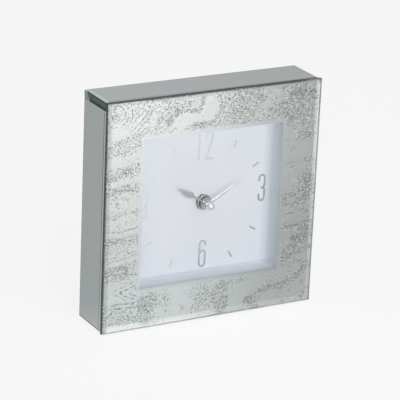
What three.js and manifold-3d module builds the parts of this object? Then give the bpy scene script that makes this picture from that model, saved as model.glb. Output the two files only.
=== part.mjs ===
// Square table clock with a silver marbled glass front, mirrored sides and a battery quartz movement.
// Millimetres, +Z up, front towards -Y, origin at the middle of the footprint on the resting surface.
import * as THREE from "three";
import { ConvexGeometry } from "three/addons/geometries/ConvexGeometry.js";
import { mergeVertices } from "three/addons/utils/BufferGeometryUtils.js";
import Module from "manifold-3d";

// ---------------------------------------------------------------- driving dimensions
const FACE = 150; // front glass, width and height
const GLASS_T = 3; // front glass thickness
const GLASS_BEVEL = 2.4; // width of the polished bevel on its front edge
const GLASS_BEVEL_DEPTH = 0.55;
const BODY = 149; // outline of the mirrored body behind the front glass
const DEPTH = 34; // front face of the glass to the back of the body
const MIRROR_T = 4; // mirrored side panels
const WINDOW = 97.7; // clear square in the foil
const FOIL_T = 0.25;
const REVEAL = 99; // inside of the white reveal
const LINER_T = 1.5;
const DIAL_Y = 16; // dial surface behind the front plane
const DIAL_T = 1.5;
const RAIL_Y1 = 31.3; // back of the carcass rails
const BACK_T = 2.4; // back panel
const PAD_T = 1.45; // felt foot pads
const LIFT = 1; // front glass's lower edge above the resting surface
const AXIS = [0.85, -1.8]; // the hands' shaft in the face's x and z, from the middle of the face
const GAP = 0.05; // between glued or resting faces

const CASE = 56; // quartz movement, square
const CASE_WALL = 1.1;
const CASE_Y0 = 18;
const CASE_SPLIT = 25.4;
const CASE_Y1 = 33.9;
const COLLAR_R = 3.9; // threaded collar of the movement
const SHAFT_R = 1.6;
const PIPE_R = 2.5; // hour pipe, outside
const HOUR_HAND = 22.6; // length from the shaft
const MINUTE_HAND = 29.6;
const TIME = { hour: 302.2, minute: 60.9 }; // degrees clockwise from 12

// ---------------------------------------------------------------- solid helpers
const wasm = await Module();
wasm.setup();

function solid(geometry) {
  const g = geometry.clone();
  for (const name of Object.keys(g.attributes)) if (name !== "position") g.deleteAttribute(name);
  const merged = mergeVertices(g.index ? g.toNonIndexed() : g, 1e-4);
  return new wasm.Manifold(
    new wasm.Mesh({
      numProp: 3,
      vertProperties: new Float32Array(merged.attributes.position.array),
      triVerts: new Uint32Array(merged.index.array),
    }),
  );
}
function geometryOf(manifold) {
  const m = manifold.getMesh();
  const g = new THREE.BufferGeometry();
  g.setAttribute("position", new THREE.BufferAttribute(new Float32Array(m.vertProperties), 3));
  g.setIndex(new THREE.BufferAttribute(new Uint32Array(m.triVerts), 1));
  const flat = g.toNonIndexed();
  flat.computeVertexNormals();
  return flat;
}
const join = (...gs) => geometryOf(gs.slice(1).reduce((a, g) => a.add(solid(g)), solid(gs[0])));
const cut = (g, ...tools) => geometryOf(tools.reduce((a, t) => a.subtract(solid(t)), solid(g)));

const box = (x0, x1, y0, y1, z0, z1) =>
  new THREE.BoxGeometry(x1 - x0, y1 - y0, z1 - z0).translate((x0 + x1) / 2, (y0 + y1) / 2, (z0 + z1) / 2);
// A cylinder along Y between two depths.
const rod = (x, z, r, y0, y1, sides = 16) =>
  new THREE.CylinderGeometry(r, r, y1 - y0, sides).translate(x, (y0 + y1) / 2, z);
// A box whose twelve edges are ground to a small arris.
function arrisBox(x0, x1, y0, y1, z0, z1, c) {
  const pts = [];
  for (const x of [x0, x1])
    for (const y of [y0, y1])
      for (const z of [z0, z1]) {
        const sx = x === x0 ? c : -c,
          sy = y === y0 ? c : -c,
          sz = z === z0 ? c : -c;
        pts.push(
          new THREE.Vector3(x, y + sy, z + sz),
          new THREE.Vector3(x + sx, y, z + sz),
          new THREE.Vector3(x + sx, y + sy, z),
        );
      }
  return new ConvexGeometry(pts);
}
// A flat outline (x, z) as a plate between two depths.
function plate(outline, y0, y1, holes = []) {
  const shape = outline.isShape ? outline : new THREE.Shape(outline.map(([x, z]) => new THREE.Vector2(x, z)));
  for (const h of holes) shape.holes.push(new THREE.Path(h.map(([x, z]) => new THREE.Vector2(x, z))));
  return new THREE.ExtrudeGeometry(shape, { depth: y1 - y0, bevelEnabled: false, steps: 1 })
    .rotateX(Math.PI / 2)
    .translate(0, y1, 0);
}
const circle = (r, sides, cx = 0, cz = 0, turn = 0) =>
  Array.from({ length: sides }, (_, i) => {
    const a = turn + (2 * Math.PI * i) / sides;
    return [cx + r * Math.cos(a), cz + r * Math.sin(a)];
  });
// A turned piece: [radius, depth] pairs round the Y axis.
const turned = (profile, sides = 24) =>
  new THREE.LatheGeometry(profile.map(([r, y]) => new THREE.Vector2(r, y)), sides);

// A spur gear's outline: straight-flanked teeth, tooth centred on the angle `turn`.
function gearOutline(teeth, module_, turn) {
  const rt = module_ * (teeth / 2 + 0.8),
    rr = module_ * (teeth / 2 - 1.15),
    pitch = (2 * Math.PI) / teeth,
    root = 0.27 * pitch,
    tip = (0.11 * pitch * (teeth / 2)) / (teeth / 2 + 0.8);
  const pts = [];
  for (let i = 0; i < teeth; i++) {
    const a = turn + i * pitch;
    for (const [r, d] of [
      [rr, -root],
      [rt, -tip],
      [rt, tip],
      [rr, root],
    ])
      pts.push([r * Math.cos(a + d), r * Math.sin(a + d)]);
  }
  return pts;
}
const gear = (teeth, module_, turn, y0, y1, bore = 0, sides = 12) =>
  plate(gearOutline(teeth, module_, turn), y0, y1, bore ? [circle(bore, sides).reverse()] : []);

// ---------------------------------------------------------------- materials
const look = (color, roughness, metalness, extra = {}) =>
  new THREE.MeshStandardMaterial({ color, roughness, metalness, ...extra });
const clearGlass = () => look(0xdfeee9, 0.03, 0, { transparent: true, opacity: 0.25 });
const foil = () => look(0xc9cdcc, 0.25, 0.9);
const mirror = () => look(0xa9afad, 0.04, 1);
const fibreboard = () => look(0x9a7b58, 0.85, 0);
const white = () => look(0xf1f3f5, 0.55, 0);
const black = () => look(0x1d1e20, 0.6, 0);
const nickel = () => look(0x9b9a94, 0.25, 1);
const bright = () => look(0xdadcde, 0.12, 1);
const nylon = () => look(0xe6e2d6, 0.45, 0);
const felt = () => look(0x2b2b2d, 0.95, 0);

// ---------------------------------------------------------------- the clock, in the face's own frame
// x to the right, y into the clock from the front plane, z up from the middle of the face.
const clock = new THREE.Group();
const body = new THREE.Group();
body.position.set(0, -DEPTH / 2, FACE / 2 + LIFT);
clock.add(body);
const place = (group, name, geometry, material) => {
  const mesh = new THREE.Mesh(geometry, material);
  mesh.name = name;
  group.add(mesh);
  return mesh;
};

const F = FACE / 2,
  B = BODY / 2,
  IN = B - MIRROR_T - 0.2, // outline of what sits between the mirrored panels
  RAIL = REVEAL / 2 + LINER_T + 1.1, // opening in the carcass in front of the dial
  SHOULDER = 48; // and behind it, so that the dial plate rests on a shoulder

// front glass with a shallow polished bevel all round
{
  const b = GLASS_BEVEL,
    pts = [];
  for (const sx of [-1, 1])
    for (const sz of [-1, 1]) {
      pts.push(new THREE.Vector3(sx * (F - b), 0, sz * (F - b)));
      pts.push(new THREE.Vector3(sx * F, GLASS_BEVEL_DEPTH, sz * F));
      pts.push(new THREE.Vector3(sx * F, GLASS_T, sz * F));
    }
  place(body, "front_glass", new ConvexGeometry(pts), clearGlass());
}

// marbled silver foil on the back of the glass, with its clear window
{
  const o = F - 0.15,
    w = WINDOW / 2,
    sq = (s) => [
      [-s, -s],
      [s, -s],
      [s, s],
      [-s, s],
    ];
  place(
    body,
    "marbled_foil",
    plate(sq(o), GLASS_T + GAP, GLASS_T + GAP + FOIL_T, [sq(w).reverse()]),
    foil(),
  );
}

// mirrored side panels: the top one lies on the two upright ones, the bottom one is between them
const PANEL_Y0 = GLASS_T + FOIL_T + 2 * GAP;
place(body, "top_mirror_panel", arrisBox(-B, B, PANEL_Y0, DEPTH, B - MIRROR_T, B, 0.5), mirror());
{
  const s = B - MIRROR_T - 0.1;
  place(body, "bottom_mirror_panel", arrisBox(-s, s, PANEL_Y0, DEPTH, -B, -B + MIRROR_T, 0.5), mirror());
  place(body, "left_mirror_panel", arrisBox(-B, -B + MIRROR_T, PANEL_Y0, DEPTH, -B, s, 0.5), mirror());
  place(body, "right_mirror_panel", arrisBox(B - MIRROR_T, B, PANEL_Y0, DEPTH, -B, s, 0.5), mirror());
}

// carcass rails of an L section, and the back panel's screws in them
const SCREW = 62;
const rail = (x0, x1, z0, z1, deep) => {
  // the front part, and the deeper shoulder behind the dial plate
  const g = join(box(x0, x1, PANEL_Y0, RAIL_Y1, z0, z1), box(...deep));
  return g;
};
const pilot = (sx, sz) => rod(sx * SCREW, sz * SCREW, 1.5, RAIL_Y1 - 13, RAIL_Y1 + 1, 10);
const YS = DIAL_Y + DIAL_T + 0.15; // front of the shoulder
place(
  body,
  "top_rail",
  cut(rail(-IN, IN, RAIL, IN, [-IN, IN, YS, RAIL_Y1, SHOULDER, IN]), pilot(-1, 1), pilot(1, 1)),
  fibreboard(),
);
place(
  body,
  "bottom_rail",
  cut(rail(-IN, IN, -IN, -RAIL, [-IN, IN, YS, RAIL_Y1, -IN, -SHOULDER]), pilot(-1, -1), pilot(1, -1)),
  fibreboard(),
);
{
  const zf = RAIL - GAP,
    zb = SHOULDER - GAP;
  for (const [name, s] of [
    ["left_stile", -1],
    ["right_stile", 1],
  ]) {
    const a = Math.min(s * IN, s * RAIL),
      b = Math.max(s * IN, s * RAIL),
      c = Math.min(s * IN, s * SHOULDER),
      d = Math.max(s * IN, s * SHOULDER);
    place(
      body,
      name,
      join(box(a, b, PANEL_Y0, YS, -zf, zf), box(a, b, PANEL_Y0, RAIL_Y1, -zb, zb), box(c, d, YS, RAIL_Y1, -zb, zb)),
      fibreboard(),
    );
  }
}

// white reveal between the glass and the dial: the top and bottom strips run the full width
{
  const a = REVEAL / 2,
    b = a + LINER_T,
    y0 = PANEL_Y0,
    y1 = DIAL_Y - GAP;
  place(body, "reveal_top", box(-b, b, y0, y1, a, b), white());
  place(body, "reveal_bottom", box(-b, b, y0, y1, -b, -a), white());
  place(body, "reveal_left", box(-b, -a, y0, y1, -a + GAP, a - GAP), white());
  place(body, "reveal_right", box(a, b, y0, y1, -a + GAP, a - GAP), white());
}

// dial plate on the shoulder of the carcass
{
  const s = RAIL - 0.3;
  place(
    body,
    "dial_plate",
    cut(box(-s, s, DIAL_Y, DIAL_Y + DIAL_T, -s, s), rod(AXIS[0], AXIS[1], COLLAR_R + 0.25, DIAL_Y - 1, DIAL_Y + DIAL_T + 1, 20)),
    white(),
  );
}

// back panel with the movement's cut-out, and its four countersunk screws
const BACK_Y0 = RAIL_Y1 + GAP,
  BACK_Y1 = BACK_Y0 + BACK_T;
{
  const c = CASE / 2 + 0.7;
  const sinks = [];
  for (const sx of [-1, 1])
    for (const sz of [-1, 1]) {
      sinks.push(
        turned(
          [
            [0, BACK_Y0 - 1],
            [1.75, BACK_Y0 - 1],
            [1.75, BACK_Y0 + 0.55],
            [3.6, BACK_Y1 - 0.0],
            [3.6, BACK_Y1 + 1],
            [0, BACK_Y1 + 1],
          ],
          14,
        ).translate(sx * SCREW, 0, sz * SCREW),
      );
    }
  place(
    body,
    "back_panel",
    cut(
      box(-IN, IN, BACK_Y0, BACK_Y1, -IN, IN),
      box(AXIS[0] - c, AXIS[0] + c, BACK_Y0 - 1, BACK_Y1 + 1, AXIS[1] - c, AXIS[1] + c),
      ...sinks,
    ),
    black(),
  );
  let n = 0;
  for (const sz of [1, -1])
    for (const sx of [-1, 1]) {
      const x = sx * SCREW,
        z = sz * SCREW,
        top = BACK_Y1 - 0.1;
      const screw = turned(
        [
          [0, RAIL_Y1 - 12],
          [1.2, RAIL_Y1 - 10],
          [1.2, BACK_Y0 + 0.75],
          [3.1, top - 0.25],
          [2.9, top],
          [0, top],
        ],
        14,
      );
      const slot = (w, l) => box(-w, w, top - 0.9, top + 1, -l, l);
      place(body, `back_screw_${++n}`, cut(screw, slot(0.35, 1.7), slot(1.7, 0.35)).translate(x, 0, z), nickel());
    }
}

// felt pads under the body
{
  let n = 0;
  for (const y of [9, 27])
    for (const sx of [-1, 1])
      place(
        body,
        `foot_pad_${++n}`,
        new THREE.CylinderGeometry(5.6, 6, PAD_T, 18).rotateX(Math.PI / 2),
        felt(),
      ).position.set(sx * 60, y, -F - LIFT + PAD_T / 2);
}

// ---------------------------------------------------------------- quartz movement, round the shaft's axis
const movement = new THREE.Group();
movement.position.set(AXIS[0], 0, AXIS[1]);
body.add(movement);

// gear levels from the front, and the tooth sizes
const LEVEL = { hour: 19.45, motion: 20.65, centre: 22.0, third: 23.8, seconds: 25.8, step: 27.7 };
const FACE_T = 0.85; // face width of each gear
const polar = (from, r, deg) => [
  from[0] + r * Math.cos((deg * Math.PI) / 180),
  from[1] + r * Math.sin((deg * Math.PI) / 180),
];
// turn that puts a tooth (gap = false) or a space (gap = true) of a gear on the direction `deg`
const phase = (teeth, deg, gap) => (deg * Math.PI) / 180 + (gap ? Math.PI / teeth : 0);

const M_HOUR = 0.336,
  M_MOTION = 0.35,
  M_CENTRE = 0.27,
  M_THIRD = (0.27 * 36) / 34,
  M_SECONDS = 0.28,
  M_STEP = 0.22;
const CENTRE = [0, 0];
const MINUTE_DIR = -20,
  THIRD_DIR = 50,
  INTER_DIR = 130,
  ROTOR_DIR = 150,
  SETTING_DIR = 20;
const MINUTE_WHEEL = polar(CENTRE, M_MOTION * 24, MINUTE_DIR);
const SETTING = polar(MINUTE_WHEEL, M_MOTION * 24, SETTING_DIR);
const THIRD = polar(CENTRE, M_CENTRE * 36, THIRD_DIR);
const INTER = polar(CENTRE, M_SECONDS * 35, INTER_DIR);
const ROTOR = polar(INTER, M_STEP * 36, ROTOR_DIR);

const FLOOR = CASE_Y0 + 1.05; // inside face of the case's front plate
const ROOF = CASE_Y1 - 1.0; // inside face of its back plate
const BAY_TOP = -12.2; // the battery bay is below this
const WELL = { r: 5.7, floor: 30.4 };
const H = CASE / 2;
const at = (g, [x, z]) => g.translate(x, 0, z);

// front half of the case, with the threaded collar, the minute wheel's stud and the rotor's post
{
  const w = CASE_WALL;
  const shell = cut(
    arrisBox(-H, H, CASE_Y0, CASE_SPLIT, -H, H, 0.6),
    box(-H + w, H - w, FLOOR, CASE_SPLIT + 1, -H + w, H - w),
  );
  const collar = rod(0, 0, COLLAR_R, 12.4, CASE_Y0 + 0.5, 20);
  const stud = rod(...MINUTE_WHEEL, 0.7, FLOOR - 0.2, 21.75, 12);
  const post = rod(...ROTOR, 1.1, FLOOR - 0.2, 25.2, 12);
  const posts = [THIRD, INTER, SETTING].map((p) => rod(...p, 1.25, FLOOR - 0.2, FLOOR + 0.25, 12));
  place(
    movement,
    "movement_case_front",
    cut(
      join(shell, collar, stud, post, ...posts),
      rod(0, 0, PIPE_R + 0.12, 11, FLOOR + 1, 20),
      ...[THIRD, INTER].map((p) => rod(...p, 0.42, FLOOR - 0.55, FLOOR + 1, 10)),
      rod(...SETTING, 0.82, FLOOR - 0.55, FLOOR + 1, 10),
      rod(...ROTOR, 0.35, 24.3, 26, 10),
    ),
    white(),
  );
}

// back half of the case: back plate, battery bay, well of the setting knob
{
  const w = CASE_WALL;
  const shell = cut(
    arrisBox(-H, H, CASE_SPLIT + GAP, CASE_Y1, -H, H, 0.6),
    box(-H + w, H - w, CASE_SPLIT - 1, ROOF, -H + w, H - w),
  );
  const wall = box(-H + w + 0.25, H - w - 0.25, FLOOR + 0.15, ROOF + 0.5, BAY_TOP, BAY_TOP + 0.9);
  const link = box(-H + 0.5, H - 0.5, CASE_SPLIT + 0.3, ROOF + 0.5, BAY_TOP, BAY_TOP + 0.9);
  const well = rod(...SETTING, WELL.r + 0.9, WELL.floor, CASE_Y1 - 0.3, 28);
  const bosses = [THIRD, INTER, ROTOR, CENTRE].map((p) => rod(...p, 1.25, ROOF - 0.3, ROOF + 0.3, 12));
  place(
    movement,
    "movement_case_back",
    cut(
      join(shell, wall, link, well, ...bosses),
      box(-H + w + 0.3, H - w - 0.3, ROOF - 1, CASE_Y1 + 1, -H + w, BAY_TOP),
      rod(...SETTING, WELL.r, WELL.floor + 0.9, CASE_Y1 + 1, 28),
      rod(...SETTING, 0.85, WELL.floor - 1, CASE_Y1, 10),
      ...[THIRD, INTER, CENTRE].map((p) => rod(...p, 0.42, ROOF - 1, ROOF + 0.45, 10)),
      rod(...ROTOR, 0.35, ROOF - 1, ROOF + 0.45, 10),
    ),
    white(),
  );
}

// fixing at the dial: rubber washer behind it, hexagon nut on the collar in front of it
place(
  movement,
  "rubber_washer",
  plate(circle(8, 24), DIAL_Y + DIAL_T + GAP, CASE_Y0 - GAP, [circle(COLLAR_R + 0.3, 20).reverse()]),
  black(),
);
{
  const R = 9.4 / 2 / Math.cos(Math.PI / 6),
    y0 = 13.9,
    y1 = DIAL_Y - GAP;
  const hex = new THREE.CylinderGeometry(R, R, y1 - y0, 6, 1, false, 0.26).translate(0, (y0 + y1) / 2, 0);
  const cone = solid(
    turned(
      [
        [0, y0],
        [4.35, y0],
        [5.6, y0 + 0.72],
        [5.6, y1],
        [0, y1],
      ],
      24,
    ),
  );
  const nut = solid(hex).intersect(cone).subtract(solid(rod(0, 0, COLLAR_R + 0.08, y0 - 1, y1 + 1, 20)));
  place(movement, "hex_nut", geometryOf(nut), nickel());
}

// hands: a kite-shaped hour hand and a slim minute hand
const handTurn = (deg) => (-deg * Math.PI) / 180 + Math.PI / 2; // from the x axis, anticlockwise
// outline of a hand along +x: half widths at distances from the shaft, round the hub circle
function handOutline(hub, widths, turn, sides = 14) {
  const a0 = Math.asin(widths[0][1] / hub);
  const pts = [];
  for (let i = 0; i <= sides; i++) {
    const a = a0 + ((2 * Math.PI - 2 * a0) * i) / sides;
    pts.push([hub * Math.cos(a), hub * Math.sin(a)]);
  }
  for (const [r, w] of widths.slice(1)) pts.push([r, -w]);
  for (const [r, w] of widths.slice(1).reverse()) pts.push([r, w]);
  const c = Math.cos(turn),
    s = Math.sin(turn);
  return pts.map(([x, z]) => [x * c - z * s, x * s + z * c]);
}
{
  const y0 = 11.5,
    y1 = 11.9;
  const hand = plate(
    handOutline(
      3.6,
      [
        [0, 0.6],
        [10.6, 0.55],
        [11.5, 1.1],
        [12.1, 1.9],
        [12.8, 2.15],
        [14.2, 1.85],
        [18, 0.95],
        [HOUR_HAND, 0.12],
      ],
      handTurn(TIME.hour),
    ),
    y0,
    y1,
    [circle(PIPE_R + 0.06, 20).reverse()],
  );
  const bush = plate(circle(3.1, 20), y1 - 0.1, 12.15, [circle(PIPE_R + 0.06, 20).reverse()]);
  place(movement, "hour_hand", join(hand, bush), bright());
}
{
  const y0 = 9.3,
    y1 = 9.65;
  const bore = SHAFT_R - 0.35;
  const hand = plate(
    handOutline(
      3,
      [
        [0, 0.6],
        [4, 0.75],
        [12, 0.62],
        [22, 0.38],
        [MINUTE_HAND, 0.1],
      ],
      handTurn(TIME.minute),
    ),
    y0,
    y1,
    [circle(bore + 0.06, 16).reverse()],
  );
  place(movement, "minute_hand", hand, bright());
}
// polished nut with a ball end on the minute arbor
place(
  movement,
  "ball_cap_nut",
  (() => {
    const c = 5.6,
      r = 2.35,
      neck = 1.55,
      end = 9.25,
      pts = [[0, c - r]];
    const last = Math.asin(neck / r);
    for (let i = 1; i <= 9; i++) {
      const a = Math.PI - ((Math.PI - last) * i) / 9;
      pts.push([r * Math.sin(a), c + r * Math.cos(a)]);
    }
    pts.push([2.2, 7.8], [2.2, end], [0.98, end], [0.98, 5.0], [0, 5.0]);
    return turned(pts, 24);
  })(),
  bright(),
);

// motion work
place(
  movement,
  "minute_arbor",
  cut(
    join(
      rod(0, 0, 0.9, 5.15, 10, 14),
      rod(0, 0, SHAFT_R - 0.35, 9.28, 10.4, 16),
      rod(0, 0, SHAFT_R, 9.7, LEVEL.motion + FACE_T, 16),
      gear(12, M_MOTION, phase(12, MINUTE_DIR, true), LEVEL.motion, LEVEL.motion + FACE_T),
      rod(0, 0, 1.1, LEVEL.motion + FACE_T - 0.1, 23.5, 14),
    ),
    rod(0, 0, 0.42, 22.6, 25, 10),
  ),
  bright(),
);
place(
  movement,
  "hour_wheel",
  cut(
    join(
      gear(40, M_HOUR, phase(40, MINUTE_DIR, true), LEVEL.hour, LEVEL.hour + FACE_T),
      rod(0, 0, PIPE_R, 11.1, LEVEL.hour + 0.2, 20),
    ),
    rod(0, 0, SHAFT_R + 0.15, 10, 22, 16),
  ),
  nylon(),
);
place(
  movement,
  "minute_wheel",
  at(
    cut(
      join(
        gear(36, M_MOTION, phase(36, MINUTE_DIR + 180, false), LEVEL.motion, LEVEL.motion + FACE_T),
        gear(10, M_HOUR, phase(10, MINUTE_DIR + 180, false), LEVEL.hour, LEVEL.motion + 0.1),
      ),
      rod(0, 0, 0.8, 17, 23, 12),
    ),
    MINUTE_WHEEL,
  ),
  nylon(),
);
// setting knob: its pinion turns the minute wheel, its knurled head is in the well at the back
{
  // the minute wheel's teeth stand at its first mesh; the space of the pinion faces the nearest tooth
  const pitch = (2 * Math.PI) / 36;
  const first = phase(36, MINUTE_DIR + 180, false);
  const dir = (SETTING_DIR * Math.PI) / 180;
  const off = (((dir - first) % pitch) + pitch) % pitch; // from the last tooth to the line of centres
  const turn = dir + Math.PI + Math.PI / 12 + (off * 36) / 12;
  const knurl = Array.from({ length: 48 }, (_, i) => {
    const a = (2 * Math.PI * i) / 48,
      r = i % 2 ? 5.2 : 4.85;
    return [r * Math.cos(a), r * Math.sin(a)];
  });
  place(
    movement,
    "setting_knob",
    at(
      join(
        rod(0, 0, 0.7, FLOOR - 0.4, 31.9, 10),
        rod(0, 0, 1.1, FLOOR + 0.35, LEVEL.motion + 0.1, 12),
        gear(12, M_MOTION, turn, LEVEL.motion, LEVEL.motion + FACE_T),
        plate(knurl, WELL.floor + 1.2, CASE_Y1 - 0.2),
        box(-3.4, 3.4, CASE_Y1 - 0.4, CASE_Y1, -0.5, 0.5),
      ),
      SETTING,
    ),
    white(),
  );
}

// going train
place(
  movement,
  "centre_wheel",
  cut(
    join(
      gear(64, M_CENTRE, phase(64, THIRD_DIR, true), LEVEL.centre, LEVEL.centre + FACE_T),
      rod(0, 0, 2.2, LEVEL.centre + 0.2, LEVEL.centre + FACE_T + 0.5, 16),
    ),
    rod(0, 0, 1.22, 21, 25, 14),
  ),
  nylon(),
);
place(
  movement,
  "third_wheel",
  at(
    join(
      gear(60, M_THIRD, phase(60, THIRD_DIR + 180, false), LEVEL.third, LEVEL.third + FACE_T),
      gear(8, M_CENTRE, phase(8, THIRD_DIR + 180, false), LEVEL.centre - 0.1, LEVEL.third + 0.1),
      rod(0, 0, 0.6, FLOOR + 0.35, ROOF - 0.4, 10),
      rod(0, 0, 0.34, FLOOR - 0.4, ROOF + 0.3, 10),
    ),
    THIRD,
  ),
  nylon(),
);
place(
  movement,
  "seconds_wheel",
  join(
    gear(60, M_SECONDS, phase(60, INTER_DIR, true), LEVEL.seconds, LEVEL.seconds + FACE_T),
    gear(8, M_THIRD, phase(8, THIRD_DIR, true), LEVEL.third - 0.1, LEVEL.seconds + 0.1),
    rod(0, 0, 0.6, LEVEL.seconds, ROOF - 0.4, 10),
    rod(0, 0, 0.34, 22.8, ROOF + 0.3, 10),
  ),
  nylon(),
);
place(
  movement,
  "intermediate_wheel",
  at(
    join(
      gear(60, M_STEP, phase(60, ROTOR_DIR, false), LEVEL.step, LEVEL.step + FACE_T),
      gear(10, M_SECONDS, phase(10, INTER_DIR + 180, false), LEVEL.seconds, LEVEL.step + 0.1),
      rod(0, 0, 0.5, FLOOR + 0.35, ROOF - 0.4, 10),
      rod(0, 0, 0.34, FLOOR - 0.4, ROOF + 0.3, 10),
    ),
    INTER,
  ),
  nylon(),
);
place(
  movement,
  "rotor",
  at(
    join(
      gear(12, M_STEP, phase(12, ROTOR_DIR + 180, true), LEVEL.step - 0.1, LEVEL.step + FACE_T + 0.1),
      rod(0, 0, 2.6, 29.3, 31.1, 20),
      rod(0, 0, 0.6, 25.35, ROOF - 0.4, 10),
      rod(0, 0, 0.27, 24.5, ROOF + 0.3, 10),
    ),
    ROTOR,
  ),
  black(),
);

// stepping motor: the stator plate round the rotor, its coil, and the circuit board
const STATOR_Y = 29.7;
{
  const [rx, rz] = ROTOR;
  const outline = [
    [rx - 8, rz - 4.4],
    [rx + 4.6, rz - 4.4],
    [rx + 5.4, rz - 1.2],
    [rx + 8.6, rz - 0.2],
    [rx + 8.6, 24.2],
    [rx - 8, 24.2],
  ];
  const window_ = [
    [rx - 4.8, rz + 4.4],
    [rx + 5.2, rz + 4.4],
    [rx + 5.2, 22.0],
    [rx - 4.8, 22.0],
  ];
  place(
    movement,
    "stator",
    cut(
      plate(outline, STATOR_Y, STATOR_Y + 1),
      plate(window_, STATOR_Y - 1, STATOR_Y + 2),
      rod(rx, rz, 3.0, STATOR_Y - 1, STATOR_Y + 2, 20),
    ),
    nickel(),
  );
  const len = 9.4;
  const coil = new THREE.CylinderGeometry(2.3, 2.3, len, 20).rotateZ(Math.PI / 2).translate(rx + 0.2, STATOR_Y + 0.5, 23.1);
  place(
    movement,
    "coil",
    cut(coil, box(rx - 6, rx + 6, STATOR_Y - 0.15, STATOR_Y + 1.15, 21.8, 24.4)),
    look(0xa65a2a, 0.4, 0.6),
  );
}
place(movement, "circuit_board", arrisBox(-26.2, -16.2, 21.7, 22.6, 1.5, 25.5, 0.1), look(0x2f5a3c, 0.6, 0));
place(movement, "clock_chip", arrisBox(-24.5, -18.5, 22.65, 23.6, 12, 18, 0.4), black());
place(movement, "quartz_crystal", rod(0, 0, 1, 0, 6, 14).rotateX(Math.PI / 2).translate(-21.5, 23.7, 4.2), nickel());

// battery, its contacts, in the bay
const CELL_R = 7.1,
  CELL_Y = FLOOR + CELL_R + 0.25,
  CELL_Z = -19.55;
{
  const profile = [
    [0, -24.6],
    [6.6, -24.6],
    [CELL_R, -24.2],
    [CELL_R, 24.1],
    [6.6, 24.5],
    [2.75, 24.5],
    [2.75, 25.6],
    [0, 25.6],
  ];
  place(
    movement,
    "battery",
    turned(profile, 24).rotateZ(-Math.PI / 2).translate(0, CELL_Y, CELL_Z),
    look(0x3b3f46, 0.35, 0.4),
  );
  place(
    movement,
    "contact_positive",
    join(
      box(26.3, 26.6, 20.2, 32.2, CELL_Z - 4, CELL_Z + 4),
      box(26.0, 26.45, 24.2, 28.2, CELL_Z - 1.6, CELL_Z + 1.6),
    ),
    nickel(),
  );
  place(
    movement,
    "contact_negative",
    join(
      box(-26.6, -26.3, 20.2, 32.2, CELL_Z - 4, CELL_Z + 4),
      turned(
        [
          [0, 0],
          [3.2, 0],
          [2.4, 1.3],
          [0, 1.3],
        ],
        14,
      )
        .rotateZ(-Math.PI / 2)
        .translate(-26.4, CELL_Y, CELL_Z),
    ),
    nickel(),
  );
}

export default clock;
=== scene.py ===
"""Looks of a square mirrored table clock with a silver marbled front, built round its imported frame.

Lengths in this script are millimetres in the face's own frame (x to the right, y into the clock from the
front plane, z up from the middle of the face) until row() turns them into the row frame's metres.
"""

import math

import bmesh
import bpy
import numpy as np
from mathutils import Matrix, Vector


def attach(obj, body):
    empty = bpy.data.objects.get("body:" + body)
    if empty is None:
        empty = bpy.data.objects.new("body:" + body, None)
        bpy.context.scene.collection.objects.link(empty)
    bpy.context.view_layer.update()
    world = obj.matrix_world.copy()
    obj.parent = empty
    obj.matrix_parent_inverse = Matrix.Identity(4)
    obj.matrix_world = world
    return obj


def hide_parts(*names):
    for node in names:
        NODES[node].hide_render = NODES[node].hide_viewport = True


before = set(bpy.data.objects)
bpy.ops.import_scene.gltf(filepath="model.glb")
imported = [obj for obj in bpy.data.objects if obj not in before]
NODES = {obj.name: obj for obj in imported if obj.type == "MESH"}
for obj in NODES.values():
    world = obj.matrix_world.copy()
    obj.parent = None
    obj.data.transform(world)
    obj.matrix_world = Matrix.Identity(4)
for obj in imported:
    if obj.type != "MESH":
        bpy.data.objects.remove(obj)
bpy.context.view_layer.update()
SCENE = bpy.context.scene

# ------------------------------------------------------------------ sizes shared with the construction
FACE, GLASS_T, GLASS_BEVEL, GLASS_BEVEL_DEPTH = 150.0, 3.0, 2.4, 0.55
BODY, DEPTH, MIRROR_T = 149.0, 34.0, 4.0
WINDOW, REVEAL = 97.7, 99.0
FOIL_Y0, FOIL_Y1, PANEL_Y0 = 3.05, 3.3, 3.35
DIAL_Y = 16.0
AXIS_X, AXIS_Z = 0.85, -1.8  # the hands' shaft, from the middle of the face
BACK_Y0, BACK_Y1 = 31.35, 33.75
CASE_Y1 = 33.9
TIME = {"hour": 302.2, "minute": 60.9}


def row(x, y, z):
    return Vector((x, y - DEPTH / 2, z + FACE / 2 + 1.0)) * 0.001


def radians(d):
    return math.radians(d)


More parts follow.
